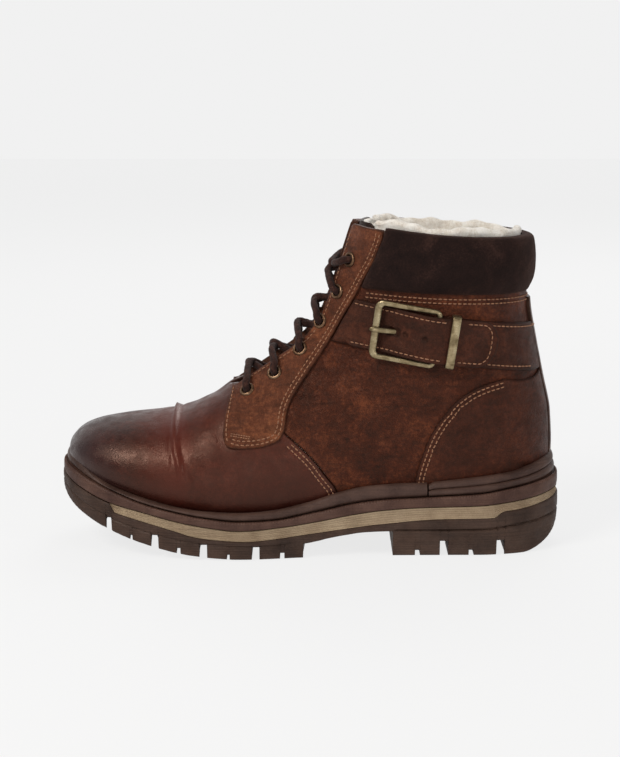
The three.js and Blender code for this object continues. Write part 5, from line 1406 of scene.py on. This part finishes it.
def rim_height(x, v):
    """How far the pile stands above the collar: fuller at the front and back, lower at the zip."""
    dip = math.exp(-((x - 70) / 16) ** 2)
    stands = 4.6 if v > -1 else 1.9
    return stands - 1.2 * dip + 0.9 * math.sin(x / 6.0 + 3 * v) + 0.5 * math.sin(x / 2.3)


edge_a = abs(across_at_y(20.0, 24.5, 1))
k_grid, a_grid = lining_grid(-edge_a, -2 + edge_a, 210, 15.0, rim_height)
base = surface(k_grid, a_grid)
up_share = np.linspace(0, 1, k_grid.shape[0])[:, None]
near_top = np.clip((up_share - 0.93) / 0.07, 0, 1)
fluff = 1.35 * pile(base)
inner_off = -8.2 + fluff * 0.9 + 1.7 * near_top ** 3
outer_off = -3.9 + np.where(near_top > 0.05, fluff * 0.7, 0) - 1.6 * near_top ** 4
outer_off = outer_off + 1.1 * np.clip((up_share - 0.9) / 0.06, 0, 1)
shaft = two_sided("visual_lining_shaft", k_grid, a_grid, inner_off, outer_off, FLEECE_WOOL)
finish_piece(shaft, "fleece", "lining_shaft", fill=0.4)

# the foot's part, closed over the toes
rows_f = 90
k_f = np.repeat(np.linspace(0.9, 14.8, rows_f)[:, None], 120, 1)
a_f = np.zeros_like(k_f)
for i in range(rows_f):
    k_here = float(k_f[i, 0])
    z_ridge = float(surface(k_here, 0.0)[2])
    gap_y = 0.0 if z_ridge < 91 else min(26.0, (z_ridge - 91) * 5)
    start = abs(across_at_y(k_here, gap_y, 1)) if gap_y > 0 else 0.0
    half = np.linspace(start, 0.985, 60)
    a_f[i] = np.concatenate([-half[::-1], half])
for word, half in (("lateral", slice(0, 60)), ("medial", slice(60, 120))):
    k, a = k_f[:, half], a_f[:, half]
    curls = 0.8 * pile(surface(k, a))
    piece = two_sided("visual_lining_foot_" + word, k, a, -8.2 + curls, np.full(k.shape, -3.95), FLEECE_WOOL)
    finish_piece(piece, "fleece", "lining_vamp", fill=0.4)

# footbed: a fleece-covered sole inside
foot_thetas = even_thetas(2.2)
foot_theta, foot_side = around(foot_thetas)
foot_x = outline(foot_theta, foot_side)[:, 0]
foot_rows = [(inset, WELT_TOP(foot_x) + z)
             for inset, z in ((18.0, 3.2), (15.3, 3.4), (14.8, 5.2), (15.4, 7.4), (17.2, 8.5))]


def footbed_crown(x, y, yy, edge_z):
    return float(WELT_TOP(x)) + 8.4 + 0.35 * float(noise(np.array([x / 5.0, yy / 5.0, 0.0]), 71.0))


footbed = plate("visual_footbed", foot_thetas, foot_rows, FLEECE_WOOL, None, list(range(-30, 31, 6)), 60,
                footbed_crown)
finish_piece(footbed, "fleece", "footbed", fill=0.6)


# ------------------------------------------------------------------ tongue
def tongue_grid(rows=80, cols=41):
    ks = np.linspace(6.3, LAST - 0.05, 400)
    zr = surface(ks, np.zeros(400))[:, 2]
    k_low = float(np.interp(87.0, zr, ks))
    k_high = float(np.interp(200.2, zr, ks))
    k = np.zeros((rows, cols))
    a = np.zeros((rows, cols))
    for i, kk in enumerate(np.linspace(k_low, k_high, rows)):
        z = float(surface(kk, 0.0)[2])
        wide = throat_half(min(z, 199)) + 12.5
        am = abs(across_at_y(kk, wide, 1))
        # no wider than the eyestay that hides its side
        probe = np.linspace(0.02, 0.7, 200)
        pts = surface(np.full(200, kk), probe)
        limit = np.interp(pts[:, 2], [p[1] for p in EYESTAY_REAR], [p[0] for p in EYESTAY_REAR]) - 1.2
        beyond = np.argmax(pts[:, 0] > limit)
        if pts[beyond, 0] > limit[beyond]:
            am = min(am, float(probe[beyond]))
        t = i / (rows - 1)
        corner = math.sqrt(max(0.0, 1 - max(0.0, (t - 0.965) / 0.035) ** 2)) * 0.18 + 0.82
        a[i] = np.linspace(-am * corner, am * corner, cols)
        k[i] = kk
    return k, a


k_t, a_t = tongue_grid()
p_t = surface(k_t, a_t)
lean_t = 4.2 * ease(p_t[..., 2], 183, 200)
side_t = np.abs(a_t) / np.abs(a_t[:, -1:])
round_t = -0.7 * np.clip((side_t - 0.93) / 0.07, 0, 1) ** 2
soft_t = 0.45 * noise(p_t / 12.0, 81.0) + 0.12 * noise(p_t / 4.0, 82.0)
face_t = -8.95 + lean_t + round_t + soft_t * 0.8
tongue = two_sided("visual_tongue", k_t, a_t, -10.75 + lean_t - round_t, face_t, TONGUE_LEATHER)
finish_piece(tongue, "tongue_leather", "tongue", fill=0.5)
tongue_fleece = two_sided("visual_tongue_lining", k_t, a_t, -14.5 + lean_t + 0.8 * pile(p_t, 64.0),
                          -11.0 + lean_t + np.zeros_like(k_t), FLEECE_WOOL)
finish_piece(tongue_fleece, "fleece", "tongue_lining", fill=0.5)


# ------------------------------------------------------------------ eyelets and lace
def lathe(name, profile, origin, out, material, sides=36):
    """A closed profile of (radius, height) turned about an outward axis."""
    up, along = upright(out)
    verts = []
    for r, h in profile:
        for j in range(sides):
            w = 2 * math.pi * j / sides
            verts.append(origin + out * h + up * (r * math.cos(w)) + along * (r * math.sin(w)))
    return make_object(name, verts, tube_faces(len(profile), sides, True), material)


EYELET_PROFILE = [
    (2.68, -3.55), (2.68, 1.2), (2.72, 2.1), (2.9, 2.55), (3.25, 2.8), (3.65, 2.86), (4.05, 2.72),
    (4.4, 2.4), (4.62, 2.0), (4.66, 1.8), (4.5, 1.62), (3.9, 1.7), (3.26, 1.6), (3.24, -3.1),
    (3.75, -3.15), (3.75, -3.55)]
for (side, row), seat in SEATS.items():
    word = "lateral" if side < 0 else "medial"
    name = "eyelet_%s_%d" % (word, row + 1)
    eyelet = lathe("visual_" + name, EYELET_PROFILE, surface(*seat), normal(*seat), EYELET_METAL)
    finish_piece(eyelet, "eyelet_brass", name)

LACE_R, LACE_UNDER, OVER_EYELET, FLANGE_R, CROWN = 2.1, -6.3, 5.15, 4.7, 2.75


def beside_seat(seat, target, reach, out_by):
    origin, out = surface(*seat), normal(*seat)
    way = np.asarray(target) - origin
    way = unit(way - out * way.dot(out))
    return origin + way * reach + out * out_by


def rising(seat, target):
    steps = ((0, -1.5), (0.1, CROWN - 0.6), (1.7, OVER_EYELET - 0.2), (FLANGE_R, OVER_EYELET))
    return [beside_seat(seat, target, r, o) for r, o in steps]


def entering(seat, source):
    steps = ((5.2, LACE_UNDER), (2.4, LACE_UNDER + 0.1), (0.4, LACE_UNDER + 1), (0, LACE_UNDER + 3.2), (0, 0.5))
    return [beside_seat(seat, source, r, o) for r, o in steps]


def edge_of(a, b, share, out):
    return skin(a[0] + (b[0] - a[0]) * share, a[1] + (b[1] - a[1]) * share, out)


strands = []
for row in range(5):
    for side in (-1, 1):
        a, b = SEATS[side, row], SEATS[-side, row + 1]
        high_mid = 2.4 if side * (1 if row % 2 else -1) > 0 else 0.0
        crossing = [edge_of(a, b, 0.36, 3.4), skin((a[0] + b[0]) / 2, 0.0, high_mid),
                    edge_of(a, b, 0.7, LACE_UNDER + 1.2)]
        strands.append(rising(a, surface(*b)) + crossing + entering(b, surface(*a)))
a, b = SEATS[-1, 0], SEATS[1, 0]
middle = skin((a[0] + b[0]) / 2, 0.0, LACE_UNDER)
strands.append(entering(a, surface(*b))[::-1] + [middle] + entering(b, surface(*a)))
for side in (-1, 1):
    a, b = SEATS[side, 5], locate(14, 163, -side)
    middle = skin((a[0] + b[0]) / 2, 0.0, 2.4 if side > 0 else 0.0)
    tail = [edge_of(a, b, 0.7, LACE_UNDER + 1.2), edge_of(a, b, 0.95, LACE_UNDER)]
    strands.append(rising(a, surface(*b)) + [edge_of(a, b, 0.36, 3.6), middle] + tail)


def braided(points, radius, sides=20, step=0.42):
    """A round braided cord: plaited yarns stand out of it along two crossing helices."""
    line = catmull(points, 24)
    run = run_along(line)
    s = np.linspace(0, run[-1], max(8, int(run[-1] / step)))
    pts = np.stack([np.interp(s, run, line[:, c]) for c in range(3)], -1)

    def relief(j, i):
        w = 2 * math.pi * j / sides
        turn = 2 * math.pi * s[i] / 6.2
        return 0.97 + 0.075 * max(math.cos(5 * w + turn * 2), math.cos(5 * w - turn * 2))

    return sweep(pts, radius, sides, section=relief)


def joined(parts):
    """Vertices and faces of several parts, as one list of each."""
    verts, faces = [], []
    for v, f in parts:
        faces += [tuple(len(verts) + q for q in face) for face in f]
        verts += list(v)
    return verts, faces


lace = make_object("visual_lace", *joined(braided(points, LACE_R) for points in strands), LACE_CORD)
finish_piece(lace, "lace_cord", "lace")


# ------------------------------------------------------------------ strap
SLOPE = math.radians(8.5)
STRAP_HALF, STRAP_THICK, BUCKLE_LENGTH, BAR_R = 14.0, 1.6, 37.0, 1.5
HINGE_OUT, BAR_OUT, LOOP_R = 5.25, 5.5, 3.45


def strap_point(along, across):
    c, s = math.cos(SLOPE), math.sin(SLOPE)
    return (76 - along * c + across * s, 132.4 + along * s + across * c)


hinge_seat, bar_seat = locate(*strap_point(0, 0), -1), locate(*strap_point(BUCKLE_LENGTH, 0), -1)
hinge_foot, bar_foot = surface(*hinge_seat), surface(*bar_seat)
B_ALONG = unit(bar_foot - hinge_foot)
_mid = normal(*locate(*strap_point(BUCKLE_LENGTH / 2, 0), -1))
B_OUT = unit(_mid - B_ALONG * _mid.dot(B_ALONG))
B_UP = np.cross(B_ALONG, B_OUT)
if B_UP[2] < 0:
    B_UP = -B_UP


def in_buckle(along, up, out):
    return hinge_foot + B_ALONG * along + B_UP * up + B_OUT * out


def flat_panel(name, loop, holes, place, top, bottom, material, spacing=1.7, edge=0.6, relief=None,
               rows=(0.0, 0.15, 0.4, 0.8, 1.4, 2.1)):
    """A leather piece drawn flat in mm and laid in place. place(u, v, height) gives 3-D points."""
    loops = [loop] + holes
    verts, edges = [], []
    for l in loops:
        start = len(verts)
        verts += [tuple(p) for p in l]
        edges += [(start + i, start + (i + 1) % len(l)) for i in range(len(l))]
    border = [np.column_stack([np.array(l, float), np.zeros(len(l))]) for l in loops]

    def within(q):
        ok = inside(q[:, 0], q[:, 1], [tuple(p) for p in loop])
        for h in holes:
            ok &= ~inside(q[:, 0], q[:, 1], [tuple(p) for p in h])
        return ok

    extra = []
    for b in border:
        t = unit(np.roll(b, -1, 0) - np.roll(b, 1, 0))
        n = np.column_stack([-t[:, 1], t[:, 0], np.zeros(len(t))])
        for d in rows[1:]:
            for sign in (1, -1):
                q = b + n * d * sign
                q = q[within(q)]
                if len(q):
                    real = distance_to(q, border)
                    extra += [(p[0], p[1]) for p, r in zip(q, real) if r > d * 0.9]
    lo, hi = border[0].min(0), border[0].max(0)
    fill = []
    for i, v in enumerate(np.arange(lo[1], hi[1], spacing * 0.87)):
        us = np.arange(lo[0] + (i % 2) * spacing / 2, hi[0], spacing)
        fill += [(u, v, 0.0) for u in us]
    fill = np.array(fill)
    fill = fill[within(fill)]
    fill = fill[distance_to(fill, border) > rows[-1] + spacing * 0.45]
    points = verts + extra + [(p[0], p[1]) for p in fill]
    out = delaunay_2d_cdt([Vector(p) for p in points], edges, [], 2, 1e-5)
    uv = np.array([(c[0], c[1]) for c in out[0]])
    faces = out[2]
    dist = distance_to(np.column_stack([uv, np.zeros(len(uv))]), border)
    lift = round_edge(dist, edge)
    height = top + lift + (relief(uv, dist) if relief else 0)
    upper = place(uv[:, 0], uv[:, 1], height)
    lower = place(uv[:, 0], uv[:, 1], bottom - lift * 0.6)
    n = len(upper)
    all_faces = [tuple(f) for f in faces] + [tuple(n + v for v in reversed(f)) for f in faces]
    all_faces += [(e[1], e[0], n + e[0], n + e[1]) for e in rim_of(faces)]
    obj = make_object(name, np.concatenate([upper, lower]), all_faces, material)
    attribute(obj, "edge", np.concatenate([np.minimum(dist, 40)] * 2) * MM)
    return obj


def strap_place(profile, side=-1):
    inner = smooth(profile)
    us = np.linspace(profile[0][0] - 1, profile[-1][0] + 1, 50)
    vs = np.linspace(-15, 15, 13)
    table = np.zeros((50, 13, 2))
    for i, u in enumerate(us):
        pts = [strap_point(u, v) for v in vs]
        table[i] = locate_many([p[0] for p in pts], [p[1] for p in pts], side)

    def place(u, v, height):
        fu = np.clip((np.asarray(u) - us[0]) / (us[1] - us[0]), 0, 48.999)
        fv = np.clip((np.asarray(v) - vs[0]) / (vs[1] - vs[0]), 0, 11.999)
        i, j = fu.astype(int), fv.astype(int)
        s, t = (fu - i)[:, None], (fv - j)[:, None]
        ka = (table[i, j] * (1 - s) * (1 - t) + table[i + 1, j] * s * (1 - t)
              + table[i, j + 1] * (1 - s) * t + table[i + 1, j + 1] * s * t)
        return skin(ka[:, 0], ka[:, 1], inner(u) + height)

    return place


def rear_x(z):
    return float(np.interp(z, [p[1] for p in EYESTAY_REAR], [p[0] for p in EYESTAY_REAR]))


def start_at(across):
    along = 50.0
    for _ in range(30):
        x, z = strap_point(along, across)
        along += x - (rear_x(z) + 0.9)
    return along


TIP_WIDTH = smooth([(-34, 0.42), (-32, 0.7), (-29, 0.9), (-24, 1), (60, 1)])
FRONT_PROFILE = [
    (-34, 2.1), (-32, 2.2), (-29, 2.5), (-24, 3.2), (-17, 4.6), (-11, 5.8), (-6, 7.5), (-2, 8.9),
    (2, 9), (7, 8.1), (14, 6), (22, 3.6), (27, 1.6), (32, 0.6), (37, 0.55), (47, 0.4), (62, 0.35)]


def circle(u, v, r, count=14):
    turns = [2 * math.pi * i / count for i in range(count)]
    return [(u + r * math.cos(w), v + r * math.sin(w)) for w in turns]


def front_outline():
    upper = [(u, STRAP_HALF * float(TIP_WIDTH(u))) for u in np.arange(-33.8, start_at(STRAP_HALF), 1.4)]
    start = [(start_at(v), v) for v in np.linspace(STRAP_HALF, -STRAP_HALF, 22)]
    lower = [(u, -v) for u, v in reversed(upper)]
    tip = [(-34.0 - 0.9 * math.sqrt(max(0, 1 - (v / 5.6) ** 2)), v) for v in np.linspace(-5.2, 5.2, 9)]
    return upper + start + lower + tip


front_place = strap_place(FRONT_PROFILE)
slot = [
    (22.2, -2.1), (25.4, -2.1), (28.6, -2.1), (31.8, -2.1), (31.8, 0), (31.8, 2.1), (28.6, 2.1),
    (25.4, 2.1), (22.2, 2.1), (22.2, 0)]


def strap_relief(uv, dist):
    p = np.column_stack([uv, np.zeros(len(uv))])
    return 0.09 * noise(p / 7.0, 90.0) + 0.04 * noise(p / 2.6, 91.0) + groove(dist, 2.4, 0.2)


strap_holes = [circle(18.5, 0, 1.25), circle(7, 0, 1.25), slot]
strap_front = flat_panel("visual_strap_front", front_outline(), strap_holes, front_place, STRAP_THICK, 0.0,
                         STRAP_LEATHER, relief=strap_relief)
finish_piece(strap_front, "strap_leather", "strap_front")

REAR_PROFILE = smooth([(-95, 0), (-24, 0), (-18, 0.4), (-12, 1.8), (-6, 1.8), (0, 1.8), (10, 1.8)])


def along_of(p):
    return -((p[:, 0] - 76) * math.cos(SLOPE) - (p[:, 2] - 132.4) * math.sin(SLOPE))


def rear_loop():
    def edge_run(across):
        pts = [strap_point(u, across) for u in np.arange(0.0, -56.0, -1.5)]
        line = [tuple(p) for p in locate_many([p[0] for p in pts], [p[1] for p in pts], -1)]
        z = strap_point(-60, across)[1]
        k2 = k_at_height(-0.93, z)
        return line + between(line[-1], (k2, beside_backstay(k2, -1)), np.linspace(0, 1, 14)[1:])

    top, low = edge_run(STRAP_HALF), edge_run(-STRAP_HALF)
    back = between(top[-1], low[-1], np.linspace(0, 1, 18)[1:-1])
    front = [locate(*strap_point(0, v), -1) for v in np.linspace(-STRAP_HALF, STRAP_HALF, 18)[1:-1]]
    return clean(top + back + low[::-1] + front)


def strap_rear_relief(p, dist, k, a):
    return REAR_PROFILE(along_of(p)) + hide(p, dist, k, a, 95.0, 0.05, 0.1) + groove(dist, 2.4, 0.2)


strap_rear = panel("visual_strap_rear", rear_loop(), [], 1.6, 0.0, STRAP_LEATHER, 1.9, 0.6,
                   strap_rear_relief)
finish_piece(strap_rear, "strap_leather", "strap_rear")


def ring_tube(inner_r, outer_r, u0, u1, centre_along, out, round_by=0.35, sides=40):
    """A short tube round a bar that lies along the buckle's up."""
    half = [(inner_r, round_by), (inner_r + round_by, 0), (outer_r - round_by, 0), (outer_r, round_by)]
    profile = [(r, u0 + d) for r, d in half] + [(r, u1 - d) for r, d in reversed(half)]
    verts = []
    for r, u in profile:
        for j in range(sides):
            w = 2 * math.pi * j / sides
            verts.append(in_buckle(centre_along + r * math.cos(w), u, out + r * math.sin(w)))
    return verts, tube_faces(len(profile), sides, True)


folds = [ring_tube(BAR_R + GAP, LOOP_R, u0, u1, 0, HINGE_OUT) for u0, u1 in ((-13.9, -3.3), (3.3, 13.9))]
fold = make_object("visual_strap_fold", *joined(folds), STRAP_LEATHER)
finish_piece(fold, "strap_leather", "strap_rear")


# ------------------------------------------------------------------ buckle
def shaped(name, centres, side_dirs, out_dirs, widths, thicks, material, closed, power, sides=24):
    """A bar with a softly squared section swept through points, width along side_dirs."""
    verts = []
    for i in range(len(centres)):
        for j in range(sides):
            w = 2 * math.pi * (j + 0.5) / sides
            c, s = math.cos(w), math.sin(w)
            r = (abs(c) ** power + abs(s) ** power) ** (-1 / power)
            wide = side_dirs[i] * (widths[i] / 2 * c * r)
            verts.append(centres[i] + wide + out_dirs[i] * (thicks[i] / 2 * s * r))
    return make_object(name, verts, tube_faces(len(centres), sides, closed), material)


def frame_path():
    """Rounded rectangle in the buckle's plane: (along, up, width, thickness)."""
    rail, r_open, r_hinge = 16.25, 3.6, 2.4
    pts = []

    def arc(ca, cu, r, w0, w1, steps=10):
        for t in np.linspace(0, 1, steps):
            w = math.radians(w0 + (w1 - w0) * t)
            pts.append((ca + r * math.cos(w), cu + r * math.sin(w)))

    for u in np.linspace(-rail + r_hinge + 0.5, rail - r_hinge - 0.5, 30):
        pts.append((0.0, u))
    arc(r_hinge, rail - r_hinge, r_hinge, 180, 90)
    for a in np.linspace(r_hinge + 1, BUCKLE_LENGTH - r_open - 1, 26):
        pts.append((a, rail))
    arc(BUCKLE_LENGTH - r_open, rail - r_open, r_open, 90, 0)
    for u in np.linspace(rail - r_open - 0.6, -rail + r_open + 0.6, 30):
        pts.append((BUCKLE_LENGTH, u))
    arc(BUCKLE_LENGTH - r_open, -rail + r_open, r_open, 0, -90)
    for a in np.linspace(BUCKLE_LENGTH - r_open - 1, r_hinge + 1, 26):
        pts.append((a, -rail))
    arc(r_hinge, -rail + r_hinge, r_hinge, -90, -180)
    out = []
    for a, u in pts:
        hinge = float(1 - ease(a, 0.5, 3.0))
        bar = float(ease(a, 33.0, 36.5))
        out.append((a, u, 3.0 * hinge + (1 - hinge) * (3.1 + 1.3 * bar), 2.9 + 0.1 * bar))
    return out


path = frame_path()
centres, sides_dir, outs, widths, thicks = [], [], [], [], []
for i, (a, u, w, t) in enumerate(path):
    a0, u0 = path[i - 1][:2]
    a1, u1 = path[(i + 1) % len(path)][:2]
    d = unit(np.array([a1 - a0, u1 - u0]))
    centres.append(in_buckle(a, u, HINGE_OUT + (BAR_OUT - HINGE_OUT) * a / BUCKLE_LENGTH))
    sides_dir.append(B_ALONG * d[1] - B_UP * d[0])
    outs.append(B_OUT)
    widths.append(w)
    thicks.append(t)
frame_obj = shaped("visual_buckle_frame", centres, sides_dir, outs, widths, thicks, BRASS, True, 3.0)
finish_piece(frame_obj, "antique_brass", "buckle_frame", body="buckle_frame")

PRONG = [
    (2.4, HINGE_OUT - 0.6), (8, 4.2), (16, 3.25), (22, 3.15), (27, 4.6), (32, 6.8), (35, 8.0), (37.5, 8.6),
    (40.2, 8.6)]
line = catmull([(a, 0, o) for a, o in PRONG], 10)
centres, sides_dir, outs, widths, thicks = [], [], [], [], []
for i, (a, o) in enumerate(line[:, [0, 2]]):
    a0, o0 = line[max(i - 1, 0)][[0, 2]]
    a1, o1 = line[min(i + 1, len(line) - 1)][[0, 2]]
    d = unit(np.array([a1 - a0, o1 - o0]))
    end = math.sqrt(max(0.02, 1 - max(0.0, (i - (len(line) - 7)) / 6.2) ** 2))
    centres.append(in_buckle(a, 0, o))
    sides_dir.append(B_UP)
    outs.append(B_OUT * d[0] - B_ALONG * d[1])
    widths.append(3.1 * end)
    thicks.append(2.1 * (0.45 + 0.55 * end))
prong = shaped("visual_buckle_prong", centres, sides_dir, outs, widths, thicks, BRASS, False, 2.4)
finish_piece(prong, "antique_brass", "buckle_prong", body="buckle_prong")
v, f = ring_tube(BAR_R + GAP, BAR_R + GAP + 1.1, -2.6, 2.6, 0, HINGE_OUT, 0.3)
prong_eye = make_object("visual_buckle_prong_eye", v, f, BRASS)
finish_piece(prong_eye, "antique_brass", "buckle_prong", body="buckle_prong")

# keeper: a flat band of metal bent to a ring
KEEPER_ALONG = -8.5
keeper_seat = locate(*strap_point(KEEPER_ALONG, 0), -1)
K_OUT = normal(*keeper_seat)
K_ALONG = unit(B_ALONG - K_OUT * B_ALONG.dot(K_OUT))
K_UP = np.cross(K_ALONG, K_OUT)
if K_UP[2] < 0:
    K_UP = -K_UP
keeper_foot = surface(*keeper_seat)
up_half, out_low, out_high, corner = 15.55, 0.9, 10.15, 1.9
ring_pts = []
for cu, co, w0 in ((up_half - corner, out_high - corner, 0), (-(up_half - corner), out_high - corner, 90),
                   (-(up_half - corner), out_low + corner, 180), (up_half - corner, out_low + corner, 270)):
    for t in np.linspace(0, 90, 9):
        w = math.radians(w0 + t)
        ring_pts.append((cu + corner * math.cos(w), co + corner * math.sin(w)))
fine = []
for (u0, o0), (u1, o1) in zip(ring_pts, ring_pts[1:] + ring_pts[:1]):
    n = max(1, int(math.hypot(u1 - u0, o1 - o0) / 1.2))
    fine += [(u0 + (u1 - u0) * i / n, o0 + (o1 - o0) * i / n) for i in range(n)]
centres, outs = [], []
for i, (u, o) in enumerate(fine):
    u0, o0 = fine[i - 1]
    u1, o1 = fine[(i + 1) % len(fine)]
    d = unit(np.array([u1 - u0, o1 - o0]))
    centres.append(keeper_foot + K_UP * u + K_OUT * o)
    outs.append(K_UP * d[1] - K_OUT * d[0])
count = len(fine)
keeper = shaped("visual_strap_keeper", centres, [K_ALONG] * count, outs, [5.0] * count, [1.1] * count, BRASS,
                True, 5.0)
finish_piece(keeper, "antique_brass", "strap_keeper", body="strap_keeper")


# ------------------------------------------------------------------ zip
def zip_strip(name, a0, a1, offset, thick, material, rows=110, cols=9, ribs=0.0):
    top = ZIP_TOP - ZIP_LINE * 1.5
    foot = ZIP_FOOT + ZIP_LINE * 7
    xs, zs = [], []
    for i in range(rows):
        for j in range(cols):
            p = top + (foot - top) * i / (rows - 1) + ZIP_WAY * (a0 + (a1 - a0) * j / (cols - 1))
            xs.append(p[0])
            zs.append(p[1])
    ka = locate_many(xs, zs, 1).reshape(rows, cols, 2)
    wave = ribs * np.sin(np.arange(cols) * 2.2)[None, :]
    inner = offset - thick + np.zeros((rows, cols))
    return two_sided(name, ka[..., 0], ka[..., 1], inner, offset + wave, material)


for word, sign in (("rear", 1), ("front", -1)):
    lo, hi = sorted((sign * 0.2, sign * 12))
    tape = zip_strip("visual_zip_tape_" + word, lo, hi, -2.5, 0.85, ZIP_CLOTH, ribs=0.06)
    finish_piece(tape, "zip_tape", "zip_tape_" + word)


# ------------------------------------------------------------------ stitching
for side in (-1, 1):
    # vamp seam: two rows on the vamp
    seam_line = from_sole(SEAM_VAMP[:7], side, 1.2)[1:]
    seam_line = [p for p in seam_line if surface(*p)[2] < 71.5]
    for d in (2.2, 4.7):
        stitches(shifted(seam_line, -side * d), 0.42)
    # heel panel: two rows inside its curve
    for d in (2.1, 4.6):
        stitches(shifted(HEEL_PANELS[side][1:], side * d), 1.32)
    # eyestay: rear and lower edges in two rows, front edge in one
    rear = traced(EYESTAY_REAR[:-1] + [(44, 195)], side, 1.2, 1)
    low = traced([(-49.4, 67.2), (-43, 65.3), (-31, 65.9), (-23, 68), (-18.6, 70.4)], side, 1.2, 1)
    for d in (2.1, 4.5):
        stitches(shifted(low + rear[1:], -side * d), 1.8, skip_ends=1.5)
    front = traced([(-47.2, 96.5), (-50, 87), (-52, 77), (-52, 71), (-50.4, 67)], side, 1.2, 1)
    stitches(shifted(front, -side * 2.1), 1.8)
    tack = traced([(-48, 72.5), (-35.5, 71)], side, 1.0)
    stitches(tack, 1.85, 1.5, 1.2, 0.32)
    stitches(shifted(tack, 1.3), 1.85, 1.5, 1.2, 0.32)
    throat = throat_line(side, 101, 194, 2.2)
    stitches(throat, 1.8, radius=0.34)

# two rows under the collar, all the way round to the zip
under_a0 = locate(33, 158.5, -1)[1]
for dz in (-2.4, -4.9):
    rounding = height_line(under_a0, zip_rear[0][1] - 2.0 - 0.03, COLLAR_FOOT, dz, 1.2)
    stitches(rounding, -0.12)
    under_m = height_line(locate(33, 158.5, 1)[1], zip_front[0][1] - 0.03, COLLAR_FOOT, dz, 1.2)
    stitches(under_m, -0.12)
# beside the zip
for across in (-8.6, 8.6):
    stitches(zip_side_line(across, 73, 158), -0.1, radius=0.34)
# strap rear: one row inside each long edge
for v in (STRAP_HALF - 2.4, -STRAP_HALF + 2.4):
    pts = [strap_point(u, v) for u in np.arange(-22, -60, -1.2)]
    stitches([tuple(p) for p in locate_many([p[0] for p in pts], [p[1] for p in pts], -1)], 1.68)
build_stitches("visual_stitching", THREAD)


# one row round the front strap's loose part and along the part before the buckle, but for under the keeper
upper = [(u, STRAP_HALF * float(TIP_WIDTH(u)) - 2.4) for u in np.arange(start_at(11) - 1.0, -27, -0.8)]
tip = [(-30.8 + 1.8 * (abs(v) / 9.2) ** 3, v) for v in np.linspace(9.0, -9.0, 22)]
uv = np.array(upper + tip + [(u, -v) for u, v in reversed(upper)])
run = run_along(uv)
s = 0.6
while s + 2.2 < run[-1]:
    ts = np.array([s, s + 0.55, s + 1.65, s + 2.2])
    u, v = np.interp(ts, run, uv[:, 0]), np.interp(ts, run, uv[:, 1])
    s += 3.0
    if np.abs(u - KEEPER_ALONG).min() >= 4.0:
        base = STRAP_THICK + 0.05 + np.array([-0.35, 0.2, 0.2, -0.35])
        p = front_place(u, v, base)
        STITCH_POINTS.append((p, unit(front_place(u, v, base + 1.0) - p), 0.36))
build_stitches("visual_strap_stitching", THREAD)


# ------------------------------------------------------------------ floor and backdrop
def staged(name, corners, glow, base):
    mesh = bpy.data.meshes.new(name)
    mesh.from_pydata(corners, [], [(0, 1, 2, 3)])
    obj = bpy.data.objects.new(name, mesh)
    scene.collection.objects.link(obj)
    finish = Finish(name, roughness=1.0)
    finish.done((base, base, base, 1), Emission_Color=(1, 1, 1, 1), Emission_Strength=glow,
                Specular_IOR_Level=0.0)
    mesh.materials.append(finish.material)


FLOOR_Z = -0.0004
staged("floor", [(-6, -4, FLOOR_Z), (6, -4, FLOOR_Z), (6, 3, FLOOR_Z), (-6, 3, FLOOR_Z)], 0.785, 0.12)
staged("backdrop", [(-6, 3, FLOOR_Z), (6, 3, FLOOR_Z), (6, 3, 5), (-6, 3, 5)], 0.879, 0.0)

# CAD nodes shown as they are: these in their own material, and the zip's in its metal
CARRIED = dict.fromkeys(("toe_puff", "heel_counter", "insole_board"), BOARD_FIBRE)
CARRIED["shank"] = SHANK_STEEL
for node_name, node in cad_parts.items():
    if not node.hide_render:
        node.data.materials.clear()
        node.data.materials.append(CARRIED.get(node_name, ZIP_METAL))
